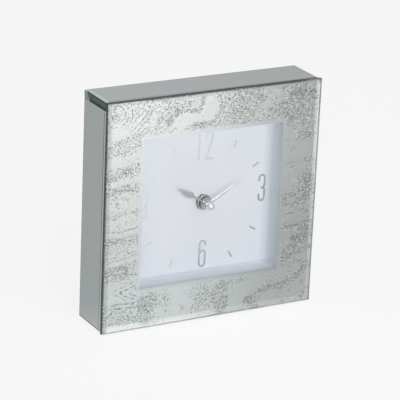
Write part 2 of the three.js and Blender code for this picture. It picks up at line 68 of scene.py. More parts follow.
# ------------------------------------------------------------------ shader building
class Shader:
    """A node material built step by step."""

    def __init__(self, name):
        self.material = bpy.data.materials.new(name)
        self.material.use_nodes = True
        self.tree = self.material.node_tree
        self.tree.nodes.clear()
        self.out = self.tree.nodes.new("ShaderNodeOutputMaterial")

    def add(self, kind, inputs=None, **settings):
        n = self.tree.nodes.new(kind)
        for k, v in settings.items():
            setattr(n, k, v)
        for k, v in (inputs or {}).items():
            self.put(n.inputs[k], v)
        return n

    def put(self, socket, value):
        if isinstance(value, bpy.types.NodeSocket):
            self.tree.links.new(value, socket)
        elif isinstance(value, (tuple, list)) and socket.type == "RGBA" and len(value) == 3:
            socket.default_value = (*value, 1.0)
        else:
            socket.default_value = value

    def coords(self, scale=(1.0, 1.0, 1.0), turn=(0.0, 0.0, 0.0)):
        c = self.add("ShaderNodeTexCoord").outputs["Object"]
        m = self.add("ShaderNodeMapping", {"Vector": c})
        m.inputs["Scale"].default_value = scale
        m.inputs["Rotation"].default_value = turn
        return m.outputs["Vector"]

    def noise(self, scale, detail=3.0, rough=0.55, vector=None, distortion=0.0):
        n = self.add("ShaderNodeTexNoise")
        n.inputs["Scale"].default_value = scale
        n.inputs["Detail"].default_value = detail
        n.inputs["Roughness"].default_value = rough
        n.inputs["Distortion"].default_value = distortion
        if vector is not None:
            self.put(n.inputs["Vector"], vector)
        else:
            self.put(n.inputs["Vector"], self.coords())
        return n.outputs["Fac"]

    def cells(self, scale, vector=None, feature="F1", randomness=1.0):
        n = self.add("ShaderNodeTexVoronoi", feature=feature)
        n.inputs["Scale"].default_value = scale
        n.inputs["Randomness"].default_value = randomness
        self.put(n.inputs["Vector"], vector if vector is not None else self.coords())
        return n.outputs["Distance"]

    def math(self, op, a, b=0.0, c=0.0, clamp=False):
        n = self.add("ShaderNodeMath", operation=op, use_clamp=clamp)
        self.put(n.inputs[0], a)
        self.put(n.inputs[1], b)
        self.put(n.inputs[2], c)
        return n.outputs[0]

    def span(self, value, a, b, c, d, smooth=False):
        n = self.add("ShaderNodeMapRange", interpolation_type="SMOOTHSTEP" if smooth else "LINEAR", clamp=True)
        for k, v in (("Value", value), ("From Min", a), ("From Max", b), ("To Min", c), ("To Max", d)):
            self.put(n.inputs[k], v)
        return n.outputs["Result"]

    def blend(self, fac, a, b):
        n = self.add("ShaderNodeMix", data_type="RGBA", clamp_factor=True)
        self.put(n.inputs[0], fac)
        self.put(n.inputs[6], (*a, 1.0) if isinstance(a, tuple) and len(a) == 3 else a)
        self.put(n.inputs[7], (*b, 1.0) if isinstance(b, tuple) and len(b) == 3 else b)
        return n.outputs[2]

    def bump(self, height, strength=0.3, distance=0.0001, normal=None):
        n = self.add("ShaderNodeBump")
        n.inputs["Strength"].default_value = strength
        n.inputs["Distance"].default_value = distance
        self.put(n.inputs["Height"], height)
        if normal is not None:
            self.put(n.inputs["Normal"], normal)
        return n.outputs["Normal"]

    def surface(self, **inputs):
        p = self.add("ShaderNodeBsdfPrincipled")
        for k, v in inputs.items():
            self.put(p.inputs[k.replace("_", " ")], v)
        self.tree.links.new(p.outputs[0], self.out.inputs["Surface"])
        return self.material


def plastic(name, colour, rough, grain=2600.0, depth=0.00002, strength=0.35, tone=0.05, specular=0.45):
    """Moulded plastic: a fine spark-eroded grain, faint flow marks in its tone and gloss."""
    s = Shader(name)
    flow = s.noise(60.0, 4.0, 0.6)
    fine = s.noise(grain, 3.0, 0.6)
    dark = tuple(c * (1 - tone * 2) for c in colour)
    light = tuple(min(1.0, c * (1 + tone) + 0.004) for c in colour)
    base = s.blend(s.span(flow, 0.3, 0.7, 0.0, 1.0), dark, light)
    base = s.blend(s.span(fine, 0.45, 0.75, 0.0, 0.25), base, light)
    r = s.span(s.math("ADD", s.math("MULTIPLY", flow, 0.5), s.math("MULTIPLY", fine, 0.5)), 0.3, 0.7, rough - 0.06, rough + 0.08)
    p = s.surface(Base_Color=base, Roughness=r, Normal=s.bump(fine, strength, depth))
    s.tree.nodes["Principled BSDF"].inputs["Specular IOR Level"].default_value = specular
    return p


def metal(name, colour, rough, streak=(900.0, 900.0, 900.0), variation=0.10, bump=0.05, tarnish=0.0, tarnish_colour=(0.3, 0.27, 0.2)):
    """Plated or polished metal: fine polishing marks along one direction, with uneven gloss and a little tarnish."""
    s = Shader(name)
    marks = s.noise(1.0, 3.0, 0.6, s.coords(streak))
    cloud = s.noise(240.0, 3.0, 0.55)
    base = s.blend(s.span(marks, 0.3, 0.7, 0.0, 1.0), tuple(c * (1 - variation) for c in colour), tuple(min(1.0, c * (1 + variation * 0.5)) for c in colour))
    if tarnish:
        base = s.blend(s.span(cloud, 0.5, 0.8, 0.0, tarnish), base, tarnish_colour)
    r = s.span(s.math("ADD", s.math("MULTIPLY", marks, 0.6), s.math("MULTIPLY", cloud, 0.4)), 0.3, 0.7, max(0.02, rough - 0.05), rough + 0.07)
    return s.surface(Base_Color=base, Metallic=1.0, Roughness=r, Normal=s.bump(marks, bump, 0.00001))


# ------------------------------------------------------------------ materials
def make_ink(name, near, far):
    """Hot-pressed silver of the figures: brushed along one way, with painted shade that makes it duller towards the
    lower right.
    """
    s = Shader(name)
    marks = s.noise(1.0, 3.0, 0.6, s.coords((4200.0, 900.0, 1500.0)))
    split = s.add("ShaderNodeSeparateXYZ", {0: s.add("ShaderNodeTexCoord").outputs["Object"]})
    place = s.math("SUBTRACT", split.outputs[0], s.math("MULTIPLY", s.math("SUBTRACT", split.outputs[2], 0.076), 0.6))
    base = s.blend(s.span(place, -0.012, 0.032, 0.0, 1.0), near, far)
    base = s.blend(s.span(marks, 0.3, 0.7, 0.0, 0.10), base, tuple(c * 0.7 for c in near))
    r = s.span(marks, 0.3, 0.7, 0.2, 0.3)
    return s.surface(Base_Color=base, Metallic=1.0, Roughness=r, Normal=s.bump(marks, 0.02, 0.00001))


def make_glass(name, low, high, ior=1.5):
    """Clear float glass that bends what is seen through it; light from lamps and from what is behind passes straight."""
    s = Shader(name)
    tint = s.blend(s.span(s.noise(14.0, 2.0), 0.3, 0.7, 0.0, 1.0), low, high)
    clear = s.add("ShaderNodeBsdfTransparent", {"Color": tint})
    glass = s.add("ShaderNodeBsdfGlass", {"Color": tint})
    glass.inputs["Roughness"].default_value = 0.0
    glass.inputs["IOR"].default_value = ior
    path = s.add("ShaderNodeLightPath")
    seen = s.math("ADD", path.outputs["Is Camera Ray"], path.outputs["Is Transmission Ray"], clamp=True)
    mix = s.add("ShaderNodeMixShader", {0: seen, 1: clear.outputs[0], 2: glass.outputs[0]})
    s.tree.links.new(mix.outputs[0], s.out.inputs["Surface"])
    return s.material


def make_glass_edge(name, dark, light, rough=0.22, end=None):
    """Cut and ground glass edge: deep green, with pale grinding marks and small chips of light. end is (colour, x0,
    x1): painted light, a paler tone towards one end of the edge.
    """
    s = Shader(name)
    along = s.noise(160.0, 4.0, 0.6)
    fine = s.noise(1500.0, 3.0, 0.6)
    base = s.blend(s.span(along, 0.32, 0.68, 0.0, 1.0), dark, light)
    base = s.blend(s.span(fine, 0.56, 0.74, 0.0, 0.35), base, tuple(min(1.0, c * 2.6 + 0.02) for c in light))
    if end:
        across = s.add("ShaderNodeSeparateXYZ", {0: s.add("ShaderNodeTexCoord").outputs["Object"]}).outputs[0]
        base = s.blend(s.span(across, end[1], end[2], 0.0, 1.0), base, end[0])
    r = s.span(fine, 0.3, 0.7, rough - 0.06, rough + 0.1)
    m = s.surface(Base_Color=base, Roughness=r, Normal=s.bump(fine, 0.15, 0.00002))
    s.tree.nodes["Principled BSDF"].inputs["Specular IOR Level"].default_value = 0.2
    return m


def make_painted_edge_reflection():
    """Painted reflection of the cut edge as it shows from inside the sheet: pale, with painted shade making it less
    pale towards the right.
    """
    s = Shader("painted_edge_reflection")
    split = s.add("ShaderNodeSeparateXYZ", {0: s.add("ShaderNodeTexCoord").outputs["Object"]})
    fine = s.noise(900.0, 3.0, 0.6)
    near = s.blend(s.span(fine, 0.3, 0.7, 0.0, 1.0), (0.64, 0.67, 0.66), (0.72, 0.75, 0.74))
    far = s.blend(s.span(fine, 0.3, 0.7, 0.0, 1.0), (0.55, 0.59, 0.58), (0.62, 0.65, 0.64))
    base = s.blend(s.span(split.outputs[0], -0.030, 0.030, 0.0, 1.0), near, far)
    return s.surface(Base_Color=base, Roughness=s.span(fine, 0.3, 0.7, 0.3, 0.4), Normal=s.bump(fine, 0.12, 0.00002))


def make_mirror(name, low, high, rough=0.035, haze=0.05):
    """Silvered mirror glass: cool grey silver with the faintest cloudiness and wipe marks."""
    s = Shader(name)
    cloud = s.noise(22.0, 3.0, 0.5)
    wipe = s.noise(1.0, 3.0, 0.6, s.coords((30.0, 260.0, 160.0), (0.2, 0.1, 0.4)))
    base = s.blend(s.span(s.math("ADD", s.math("MULTIPLY", cloud, 0.65), s.math("MULTIPLY", wipe, 0.35)), 0.32, 0.68, 0.0, 1.0), low, high)
    r = s.span(wipe, 0.35, 0.75, rough, rough + haze)
    return s.surface(Base_Color=base, Metallic=1.0, Roughness=r)


def make_foil():
    """Silver foil with dark grey marbling: worm-like specks that gather in bands, rings and veins."""
    s = Shader("marbled_foil")
    cover = s.add("ShaderNodeAttribute", attribute_name="cover").outputs["Fac"]
    lines = s.add("ShaderNodeAttribute", attribute_name="ripple").outputs["Fac"]
    rim = s.add("ShaderNodeAttribute", attribute_name="rim").outputs["Fac"]
    dim = s.add("ShaderNodeAttribute", attribute_name="dim").outputs["Fac"]
    grain = s.add("ShaderNodeAttribute", attribute_name="grain").outputs["Vector"]

    def along(sx, sz, seed):
        m = s.add("ShaderNodeMapping", {"Vector": grain})
        m.inputs["Scale"].default_value = (sx, 0.0, sz)
        m.inputs["Location"].default_value = (seed, seed * 1.7, seed * 0.6)
        return m.outputs["Vector"]

    def plane(sx, sz, seed):
        m = s.add("ShaderNodeMapping", {"Vector": grain})
        m.inputs["Scale"].default_value = (sx, sz, 0.0)
        m.inputs["Location"].default_value = (seed, seed * 1.7, seed * 0.6)
        return m.outputs["Vector"]

    drift = s.noise(0.55, 2.0, 0.6, plane(0.8, 1.3, 3.1))
    clump = s.noise(0.26, 2.0, 0.5, plane(1.0, 1.5, 7.7))
    # the thin ripple lines: a wave across the grain, broken up here and there
    split = s.add("ShaderNodeSeparateXYZ", {0: grain})
    wobble = s.math("MULTIPLY", s.math("SUBTRACT", s.noise(0.22, 3.0, 0.6, plane(1.0, 1.0, 5.0)), 0.5), 2.6)
    wave = s.math("SINE", s.math("MULTIPLY", s.math("ADD", split.outputs[2], wobble), 2 * math.pi / 2.4))
    gaps = s.span(s.noise(1.05, 2.0, 0.6, plane(0.7, 1.0, 9.0)), 0.42, 0.52, 0.0, 1.0, True)
    wave = s.math("MULTIPLY", s.math("MULTIPLY", s.span(wave, 0.30, 0.92, 0.0, 1.0, True), gaps), lines)
    dose = s.math("MULTIPLY", cover, s.span(clump, 0.3, 0.7, 0.85, 1.15))
    dose = s.math("MULTIPLY", dose, s.span(drift, 0.3, 0.7, 0.75, 1.25), clamp=True)
    dose = s.math("MULTIPLY", dose, s.math("SUBTRACT", 1.0, s.math("MULTIPLY", lines, 0.55)))
    dose = s.math("MAXIMUM", dose, s.math("MULTIPLY", wave, 0.80))

    def dots(scale, seed, sx, sz):
        """Separate ragged specks: how much of one, its own random number and its depth of tone."""
        v = plane(sx, sz, seed)
        shake = s.add("ShaderNodeTexNoise", {"Vector": v})
        shake.inputs["Scale"].default_value = scale * 1.7
        shake.inputs["Detail"].default_value = 1.0
        moved = s.add("ShaderNodeVectorMath", operation="MULTIPLY_ADD", inputs={0: shake.outputs["Color"], 1: (1.0 / scale,) * 3, 2: v})
        cell = s.add("ShaderNodeTexVoronoi", feature="F1", inputs={"Vector": moved.outputs[0]})
        cell.inputs["Scale"].default_value = scale
        pick = s.add("ShaderNodeSeparateXYZ", {0: cell.outputs["Color"]})
        return s.span(cell.outputs["Distance"], 0.57, 0.50, 0.0, 1.0, True), pick.outputs[0], pick.outputs[1]

    # dark specks and a few pale ones, more of them where the dose is higher
    speck, etched = None, None
    for scale, seed, sx, sz, share, light in ((1.75, 3.3, 0.9, 1.12, 0.90, 0.28), (1.36, 27.1, 0.85, 1.15, 0.48, 0.20)):
        dot, lot, tone = dots(scale, seed, sx, sz)
        dark = s.math("MULTIPLY", dot, s.math("LESS_THAN", lot, s.math("MULTIPLY", dose, share)))
        dark = s.math("MULTIPLY", dark, s.span(tone, 0.0, 1.0, 0.6, 1.0))
        pale = s.math("MULTIPLY", dot, s.math("GREATER_THAN", lot, s.math("SUBTRACT", 1.0, s.math("MULTIPLY", dose, light))))
        speck = dark if speck is None else s.math("MAXIMUM", speck, dark)
        etched = pale if etched is None else s.math("MAXIMUM", etched, pale)
    grit = s.noise(2.3, 1.0, 0.5, plane(1.0, 1.15, 11.3), 0.0)
    speck = s.math("MAXIMUM", speck, s.math("MULTIPLY", wave, s.span(grit, 0.38, 0.56, 0.15, 1.0, True)))
    haze = s.noise(0.09, 3.0, 0.55, plane(1.0, 1.6, 15.0))

    silver = s.blend(s.span(haze, 0.3, 0.7, 0.0, 1.0), (0.855, 0.872, 0.868), (0.905, 0.915, 0.912))
    # painted reflection: the silver turns paler and bluer towards the bottom
    silver = s.blend(s.span(split.outputs[1], -28.0, -60.0, 0.0, 0.75, True), silver, (0.900, 0.945, 0.950))
    off = s.math("MAXIMUM", s.math("ABSOLUTE", split.outputs[0]), s.math("ABSOLUTE", split.outputs[1]))
    silver = s.blend(s.span(off, 52.5, 50.0, 0.0, 0.6, True), silver, (0.860, 0.885, 0.955))
    silver = s.blend(s.span(dose, 0.0, 0.7, 0.0, 0.16, True), silver, (0.50, 0.525, 0.52))
    # painted shade along the foil's edges and at the window's lower lip, and one darker blot of the marbling
    silver = s.blend(dim, silver, (0.085, 0.098, 0.094))
    # painted highlight under the bevel: paler silver, which is also made matt below
    silver = s.blend(rim, silver, (0.985, 0.99, 0.985))
    silver = s.blend(s.math("MULTIPLY", etched, 0.75), silver, (0.97, 0.975, 0.975))
    ink = s.blend(s.span(grit, 0.35, 0.65, 0.0, 1.0), (0.030, 0.038, 0.036), (0.12, 0.132, 0.125))
    fade = s.math("MULTIPLY", speck, s.math("SUBTRACT", 1.0, s.math("MULTIPLY", rim, 0.55)))
    base = s.blend(fade, silver, ink)
    matt = s.math("MAXIMUM", s.math("MULTIPLY", etched, 0.55), rim)
    rough = s.math("MAXIMUM", s.span(fade, 0.0, 1.0, 0.22, 0.5), s.span(matt, 0.0, 1.0, 0.22, 0.5))
    metallic = s.math("MINIMUM", s.span(fade, 0.0, 1.0, 1.0, 0.5), s.span(matt, 0.0, 1.0, 1.0, 0.3))
    return s.surface(Base_Color=base, Metallic=metallic, Roughness=rough, Normal=s.bump(s.math("SUBTRACT", 1.0, fade), 0.12, 0.00004))


def make_white(name, colour, warm, rough=0.5, grain=1800.0, strength=0.12, paler=None, foot=None, rim=None):
    """Satin white card or lacquer: the finest fibre grain, hardly visible clouding. paler is (colour, y0, y1): painted
    light, a lighter tone reached at depth y1. foot paints shade towards the bottom; rim paints shade along one upright
    edge."""
    s = Shader(name)
    cloud = s.noise(30.0, 3.0, 0.5)
    fibre = s.noise(grain, 4.0, 0.65)
    base = s.blend(s.span(cloud, 0.3, 0.7, 0.0, 1.0), colour, warm)
    base = s.blend(s.span(fibre, 0.5, 0.8, 0.0, 0.12), base, tuple(c * 0.86 for c in colour))
    # painted light and shade: paler with depth
    if paler:
        depth = s.add("ShaderNodeSeparateXYZ", {0: s.add("ShaderNodeTexCoord").outputs["Object"]}).outputs[1]
        base = s.blend(s.span(depth, paler[1], paler[2], 0.0, 1.0), base, paler[0])
    # painted shade towards the bottom
    if foot:
        height = s.add("ShaderNodeSeparateXYZ", {0: s.add("ShaderNodeTexCoord").outputs["Object"]}).outputs[2]
        low = s.span(height, foot[1], foot[2], 1.0, 0.0)
        if len(foot) > 3:  # the tone eases in from the dial's edge
            low = s.math("MULTIPLY", low, s.span(height, foot[3], foot[1], 0.0, 1.0))
        base = s.blend(low, base, foot[0])
    # painted shade along one upright edge
    if rim:  # slightly duller along one upright edge, most of all at its lower end
        place = s.add("ShaderNodeSeparateXYZ", {0: s.add("ShaderNodeTexCoord").outputs["Object"]})
        near = s.span(place.outputs[0], rim[1], rim[2], 0.0, 1.0, True)
        base = s.blend(s.math("MULTIPLY", near, s.span(place.outputs[2], 0.105, 0.050, 0.55, 1.0)), base, rim[0])
    r = s.span(fibre, 0.3, 0.7, rough - 0.05, rough + 0.08)
    return s.surface(Base_Color=base, Roughness=r, Normal=s.bump(fibre, strength, 0.00002))


def make_board(name):
    """Black stained hardboard: pressed fibres, a few lighter strands and a soft screen texture."""
    s = Shader(name)
    strands = s.noise(1.0, 4.0, 0.65, s.coords((420.0, 420.0, 1500.0), (0.0, 0.5, 0.0)), 0.8)
    cross = s.noise(1.0, 4.0, 0.65, s.coords((1500.0, 420.0, 420.0), (0.0, 0.3, 0.0)), 0.8)
    cloud = s.noise(35.0, 4.0, 0.6)
    fibre = s.math("MAXIMUM", strands, cross)
    base = s.blend(s.span(cloud, 0.3, 0.7, 0.0, 1.0), (0.013, 0.012, 0.011), (0.040, 0.037, 0.034))
    base = s.blend(s.span(fibre, 0.56, 0.74, 0.0, 0.65), base, (0.125, 0.112, 0.096))
    return s.surface(Base_Color=base, Roughness=s.span(fibre, 0.4, 0.7, 0.55, 0.8), Normal=s.bump(fibre, 0.35, 0.00005))


def make_mdf(name):
    s = Shader(name)
    fibre = s.noise(1.0, 5.0, 0.7, s.coords((900.0, 300.0, 900.0)), 0.5)
    layer = s.noise(1.0, 3.0, 0.6, s.coords((20.0, 900.0, 20.0)))
    base = s.blend(s.span(fibre, 0.32, 0.68, 0.0, 1.0), (0.30, 0.20, 0.115), (0.52, 0.385, 0.245))
    base = s.blend(s.span(layer, 0.45, 0.7, 0.0, 0.3), base, (0.60, 0.47, 0.32))
    return s.surface(Base_Color=base, Roughness=s.span(fibre, 0.3, 0.7, 0.75, 0.92), Normal=s.bump(fibre, 0.4, 0.00008))


def make_felt(name):
    s = Shader(name)
    hair = s.noise(1.0, 5.0, 0.75, s.coords((2600.0, 700.0, 2600.0)), 1.5)
    tuft = s.noise(380.0, 3.0, 0.6)
    base = s.blend(s.span(hair, 0.35, 0.7, 0.0, 1.0), (0.008, 0.008, 0.009), (0.045, 0.045, 0.048))
    m = s.surface(Base_Color=base, Roughness=s.span(tuft, 0.3, 0.7, 0.85, 1.0), Normal=s.bump(s.math("ADD", hair, tuft), 0.6, 0.00015))
    p = s.tree.nodes["Principled BSDF"]
    p.inputs["Sheen Weight"].default_value = 0.35
    p.inputs["Sheen Roughness"].default_value = 0.5
    return m


def make_copper(name):
    """Enamelled winding: turns of fine wire lie side by side along x."""
    s = Shader(name)
    w = s.add("ShaderNodeTexWave", wave_type="BANDS", bands_direction="X", wave_profile="SIN")
    w.inputs["Scale"].default_value = 1100.0
    w.inputs["Distortion"].default_value = 0.6
    w.inputs["Detail"].default_value = 2.0
    s.put(w.inputs["Vector"], s.coords())
    turn = w.outputs["Fac"]
    cloud = s.noise(500.0, 3.0)
    base = s.blend(turn, (0.26, 0.09, 0.028), (0.74, 0.34, 0.15))
    base = s.blend(s.span(cloud, 0.5, 0.75, 0.0, 0.4), base, (0.50, 0.20, 0.08))
    return s.surface(Base_Color=base, Metallic=0.85, Roughness=s.span(cloud, 0.3, 0.7, 0.24, 0.4), Normal=s.bump(turn, 0.7, 0.00008))


def make_board_green(name):
    """Lacquered circuit board with tracks under the lacquer and tinned pads."""
    s = Shader(name)
    v = s.coords((1.0, 1.0, 1.0))
    track = s.cells(420.0, v, "DISTANCE_TO_EDGE", 0.35)
    pad = s.cells(420.0, v, "F1", 0.35)
    weave = s.noise(1.0, 2.0, 0.5, s.coords((1800.0, 1800.0, 1800.0)))
    base = s.blend(s.span(weave, 0.3, 0.7, 0.0, 1.0), (0.010, 0.065, 0.030), (0.018, 0.105, 0.048))
    base = s.blend(s.span(track, 0.05, 0.09, 0.8, 0.0), base, (0.045, 0.22, 0.09))
    tin = s.span(pad, 0.13, 0.16, 1.0, 0.0)
    base = s.blend(tin, base, (0.72, 0.72, 0.70))
    return s.surface(Base_Color=base, Metallic=s.span(tin, 0.0, 1.0, 0.0, 0.9), Roughness=s.span(weave, 0.3, 0.7, 0.28, 0.4), Normal=s.bump(s.math("ADD", tin, weave), 0.3, 0.00005))


def make_battery():
    """Plain cell jacket: dark shrink film with one silver band, no lettering; bare steel at both ends."""
    s = Shader("battery_jacket")
    c = s.add("ShaderNodeTexCoord").outputs["Object"]
    x = s.add("ShaderNodeSeparateXYZ", {0: c}).outputs[0]
    film = s.noise(1.0, 3.0, 0.6, s.coords((40.0, 900.0, 900.0)))
    specks = s.noise(3200.0, 2.0, 0.5)
    base = s.blend(s.span(film, 0.3, 0.7, 0.0, 1.0), (0.020, 0.030, 0.050), (0.034, 0.050, 0.078))
    band = s.math("MULTIPLY", s.span(x, 0.0102, 0.0104, 0.0, 1.0), s.span(x, 0.0228, 0.0230, 1.0, 0.0))
    base = s.blend(band, base, s.blend(s.span(specks, 0.3, 0.7, 0.0, 1.0), (0.42, 0.43, 0.44), (0.60, 0.61, 0.62)))
    thin = s.math("MULTIPLY", s.span(x, 0.0090, 0.0091, 0.0, 1.0), s.span(x, 0.0096, 0.0097, 1.0, 0.0))
    base = s.blend(thin, base, (0.50, 0.51, 0.52))
    silver = s.math("MAXIMUM", band, thin)
    return s.surface(Base_Color=base, Metallic=s.span(silver, 0.0, 1.0, 0.25, 0.9), Roughness=s.span(film, 0.3, 0.7, 0.24, 0.36), Normal=s.bump(film, 0.1, 0.00002))


M = {
    "glass_face": make_glass("glass_face", (0.982, 0.988, 0.986), (0.988, 0.992, 0.990)),
    "glass_bevel": make_glass("glass_bevel", (0.982, 0.990, 0.987), (0.992, 0.996, 0.994), 1.55),
    "glass_back": make_glass("glass_back", (0.985, 0.990, 0.989), (0.990, 0.994, 0.992)),
    "painted_edge_reflection": make_painted_edge_reflection(),
    # painted shade: a darker copy of the green edge, for the dark lining inside the front of the sheet
    "edge_shade": make_glass_edge("edge_shade", (0.040, 0.052, 0.048), (0.085, 0.10, 0.095)),
    "glass_edge": make_glass_edge("glass_edge", (0.056, 0.086, 0.078), (0.118, 0.160, 0.148)),
    # painted shade: the top edge's darker copy of the green edge, with painted light towards its right end
    "glass_edge_top_painted_shade": make_glass_edge("glass_edge_top_painted_shade", (0.032, 0.051, 0.047), (0.070, 0.097, 0.090), 0.4, end=((0.21, 0.235, 0.225), 0.060, 0.070)),
    "end_edge": make_glass_edge("end_edge", (0.085, 0.140, 0.124), (0.155, 0.215, 0.197)),
    "mirror_edge": make_glass_edge("mirror_edge", (0.020, 0.044, 0.037), (0.062, 0.100, 0.088)),
    "mirror": make_mirror("mirror_glass", (0.566, 0.606, 0.610), (0.611, 0.643, 0.645)),
    "mirror_bevel": make_mirror("mirror_bevel", (0.62, 0.70, 0.675), (0.70, 0.765, 0.745), 0.10, 0.08),
    "end_grey": make_mirror("end_grey", (0.40, 0.425, 0.425), (0.47, 0.49, 0.485), 0.2, 0.1),
    "backing": plastic("mirror_backing", (0.14, 0.14, 0.135), 0.7, 1400.0),
    "foil": make_foil(),
    "foil_back": plastic("foil_backing", (0.30, 0.31, 0.31), 0.6, 1600.0),
    # painted shade: the white lining is darker and bluer towards the front of the recess and paler at the dial; the
    # bottom wall's copy is darker still, with a painted shade band where its cove meets the dial
    "reveal": make_white("white_reveal", (0.66, 0.725, 0.79), (0.69, 0.75, 0.81), 0.42, paler=((0.83, 0.85, 0.895), -0.0095, -0.0010)),
    "reveal_painted_shade": make_white("white_reveal_painted_shade", (0.565, 0.62, 0.685), (0.595, 0.645, 0.705), 0.42, paler=((0.80, 0.825, 0.88), -0.0135, -0.0068), foot=((0.60, 0.635, 0.70), 0.0278, 0.0266, 0.0294)),
    # painted shade on the dial: darker towards the bottom and along the lower left edge
    "dial": make_white("white_dial", (0.80, 0.808, 0.868), (0.838, 0.846, 0.893), 0.5, foot=((0.79, 0.80, 0.86), 0.029, 0.048), rim=((0.762, 0.772, 0.832), -0.030, -0.047)),
    # painted shade: the figures' silver turns duller towards the lower right
    "ink": make_ink("numeral_silver", (0.91, 0.93, 0.955), (0.72, 0.735, 0.77)),
    "hand": metal("hand_metal", (0.70, 0.71, 0.73), 0.36, (700.0, 300.0, 700.0), 0.06, 0.04),
    # painted highlight: a lighter copy of the hand metal for the hubs' front faces
    "hub": metal("hand_hub_metal", (0.78, 0.785, 0.79), 0.30, (700.0, 300.0, 700.0), 0.06, 0.04),
    # painted shade: a darker copy of the hand metal for the facet turned from the light
    "hand_painted_shade": metal("hand_metal_painted_shade", (0.24, 0.25, 0.26), 0.42, (700.0, 300.0, 700.0), 0.06, 0.04),
    "hour_hand": metal("hour_hand_metal", (0.50, 0.515, 0.54), 0.38, (700.0, 300.0, 700.0), 0.06, 0.04),
    "ball": metal("ball_nut_chrome", (0.82, 0.83, 0.845), 0.30, (500.0, 500.0, 500.0), 0.04, 0.02),
    # painted shade and highlight: a dark copy of the nut's metal for its sides and a light copy for its front ring
    "nickel": metal("nickel_painted_shade", (0.17, 0.17, 0.145), 0.24, (600.0, 1200.0, 600.0), 0.14, 0.08, 0.35, (0.20, 0.19, 0.15)),
    "nickel_painted_light": metal("nut_face_painted_light", (0.74, 0.73, 0.68), 0.22, (600.0, 1200.0, 600.0), 0.08, 0.05),
    # painted shade: a darker copy of the nut metal for the cap nut base's sides
    "neck_ring_painted_shade": metal("neck_ring_painted_shade", (0.34, 0.34, 0.335), 0.35, (900.0, 900.0, 900.0), 0.12, 0.05),
    # painted shade: the dark ring metal darkens the hubs' cut sides and the collar's bore and thread
    "painted_shade_ring": metal("shaded_ring", (0.13, 0.13, 0.125), 0.35, (900.0, 900.0, 900.0), 0.12, 0.05),
    "thread": metal("collar_metal", (0.80, 0.80, 0.76), 0.24, (900.0, 900.0, 900.0), 0.14, 0.08, 0.3, (0.15, 0.14, 0.12)),
    "tube": metal("arbor_tube_metal", (0.78, 0.785, 0.77), 0.22, (800.0, 2400.0, 800.0), 0.10, 0.06),
    "brass": metal("turned_brass", (0.72, 0.55, 0.27), 0.24, (400.0, 4000.0, 400.0), 0.10, 0.10),
    "screw": metal("zinc_screw", (0.58, 0.58, 0.56), 0.28, (900.0, 900.0, 900.0), 0.14, 0.12, 0.3, (0.34, 0.33, 0.30)),
    "steel": metal("stator_steel", (0.52, 0.52, 0.52), 0.36, (3000.0, 200.0, 300.0), 0.16, 0.15, 0.3, (0.32, 0.30, 0.27)),
    "spring": metal("contact_steel", (0.66, 0.645, 0.61), 0.26, (500.0, 500.0, 3000.0), 0.12, 0.10),
    "can": metal("crystal_can", (0.64, 0.65, 0.66), 0.22, (1500.0, 300.0, 300.0), 0.08, 0.05),
    "board": make_board("black_hardboard"),
    "mdf": make_mdf("fibreboard"),
    "felt": make_felt("black_felt"),
    "case": plastic("movement_plastic", (0.030, 0.030, 0.033), 0.42, 3200.0, 0.00003, 0.45, 0.10),
    "rubber": plastic("washer_rubber", (0.022, 0.022, 0.022), 0.75, 1800.0, 0.00003, 0.4, 0.10, 0.25),
    "nylon": plastic("gear_nylon", (0.70, 0.675, 0.60), 0.38, 2200.0, 0.00001, 0.2, 0.05),
    "magnet": plastic("rotor_magnet", (0.045, 0.045, 0.050), 0.34, 2400.0, 0.00002, 0.3, 0.12),
    "chip": plastic("chip_resin", (0.014, 0.014, 0.015), 0.22, 1500.0, 0.00004, 0.3, 0.2),
    "copper": make_copper("copper_wire"),
    "green": make_board_green("circuit_board"),
    "jacket": make_battery(),
    "knob_rim": plastic("knob_rim_plastic", (0.43, 0.43, 0.42), 0.35, 2400.0, 0.00002, 0.3, 0.05),
    "case_sign": plastic("moulded_sign", (0.26, 0.26, 0.265), 0.4, 3000.0, 0.00002, 0.3, 0.08),
    "knob": plastic("knob_plastic", (0.74, 0.74, 0.725), 0.42, 2400.0, 0.00002, 0.3, 0.04),
}


# ------------------------------------------------------------------ mesh building
def finish_mesh(name, bm, mats, sharp=35.0, move=True, weld=None):
    """Turns a bmesh in the face's frame (mm) into an object in the row frame (m)."""
    if weld:
        bmesh.ops.remove_doubles(bm, verts=bm.verts, dist=weld)
    if move:
        for v in bm.verts:
            v.co = row(*v.co)
    bmesh.ops.recalc_face_normals(bm, faces=bm.faces)
    mesh = bpy.data.meshes.new(name)
    bm.to_mesh(mesh)
    bm.free()
    for m in mats:
        mesh.materials.append(m)
    mesh.shade_smooth()
    mesh.set_sharp_from_angle(angle=radians(sharp))
    o = bpy.data.objects.new(name, mesh)
    SCENE.collection.objects.link(o)
    return o


def settle(o, body="case", stands_for=()):
    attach(o, body)
    if stands_for:
        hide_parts(*stands_for)
    return o


def fillet(points, radius, steps=4):
    """Rounds the inner corners of an open profile of (a, b) points."""
    out = [points[0]]
    for p, q, r in zip(points, points[1:], points[2:]):
        p, q, r = Vector(p), Vector(q), Vector(r)
        a, b = (p - q), (r - q)
        cut = min(radius, a.length * 0.45, b.length * 0.45)
        if cut < 1e-5 or abs(a.normalized().dot(b.normalized())) > 0.999:
            out.append(tuple(q))
            continue
        s, e = q + a.normalized() * cut, q + b.normalized() * cut
        for i in range(steps + 1):
            t = i / steps
            out.append(tuple(s * (1 - t) ** 2 + q * 2 * t * (1 - t) + e * t * t))
    out.append(points[-1])
    return out


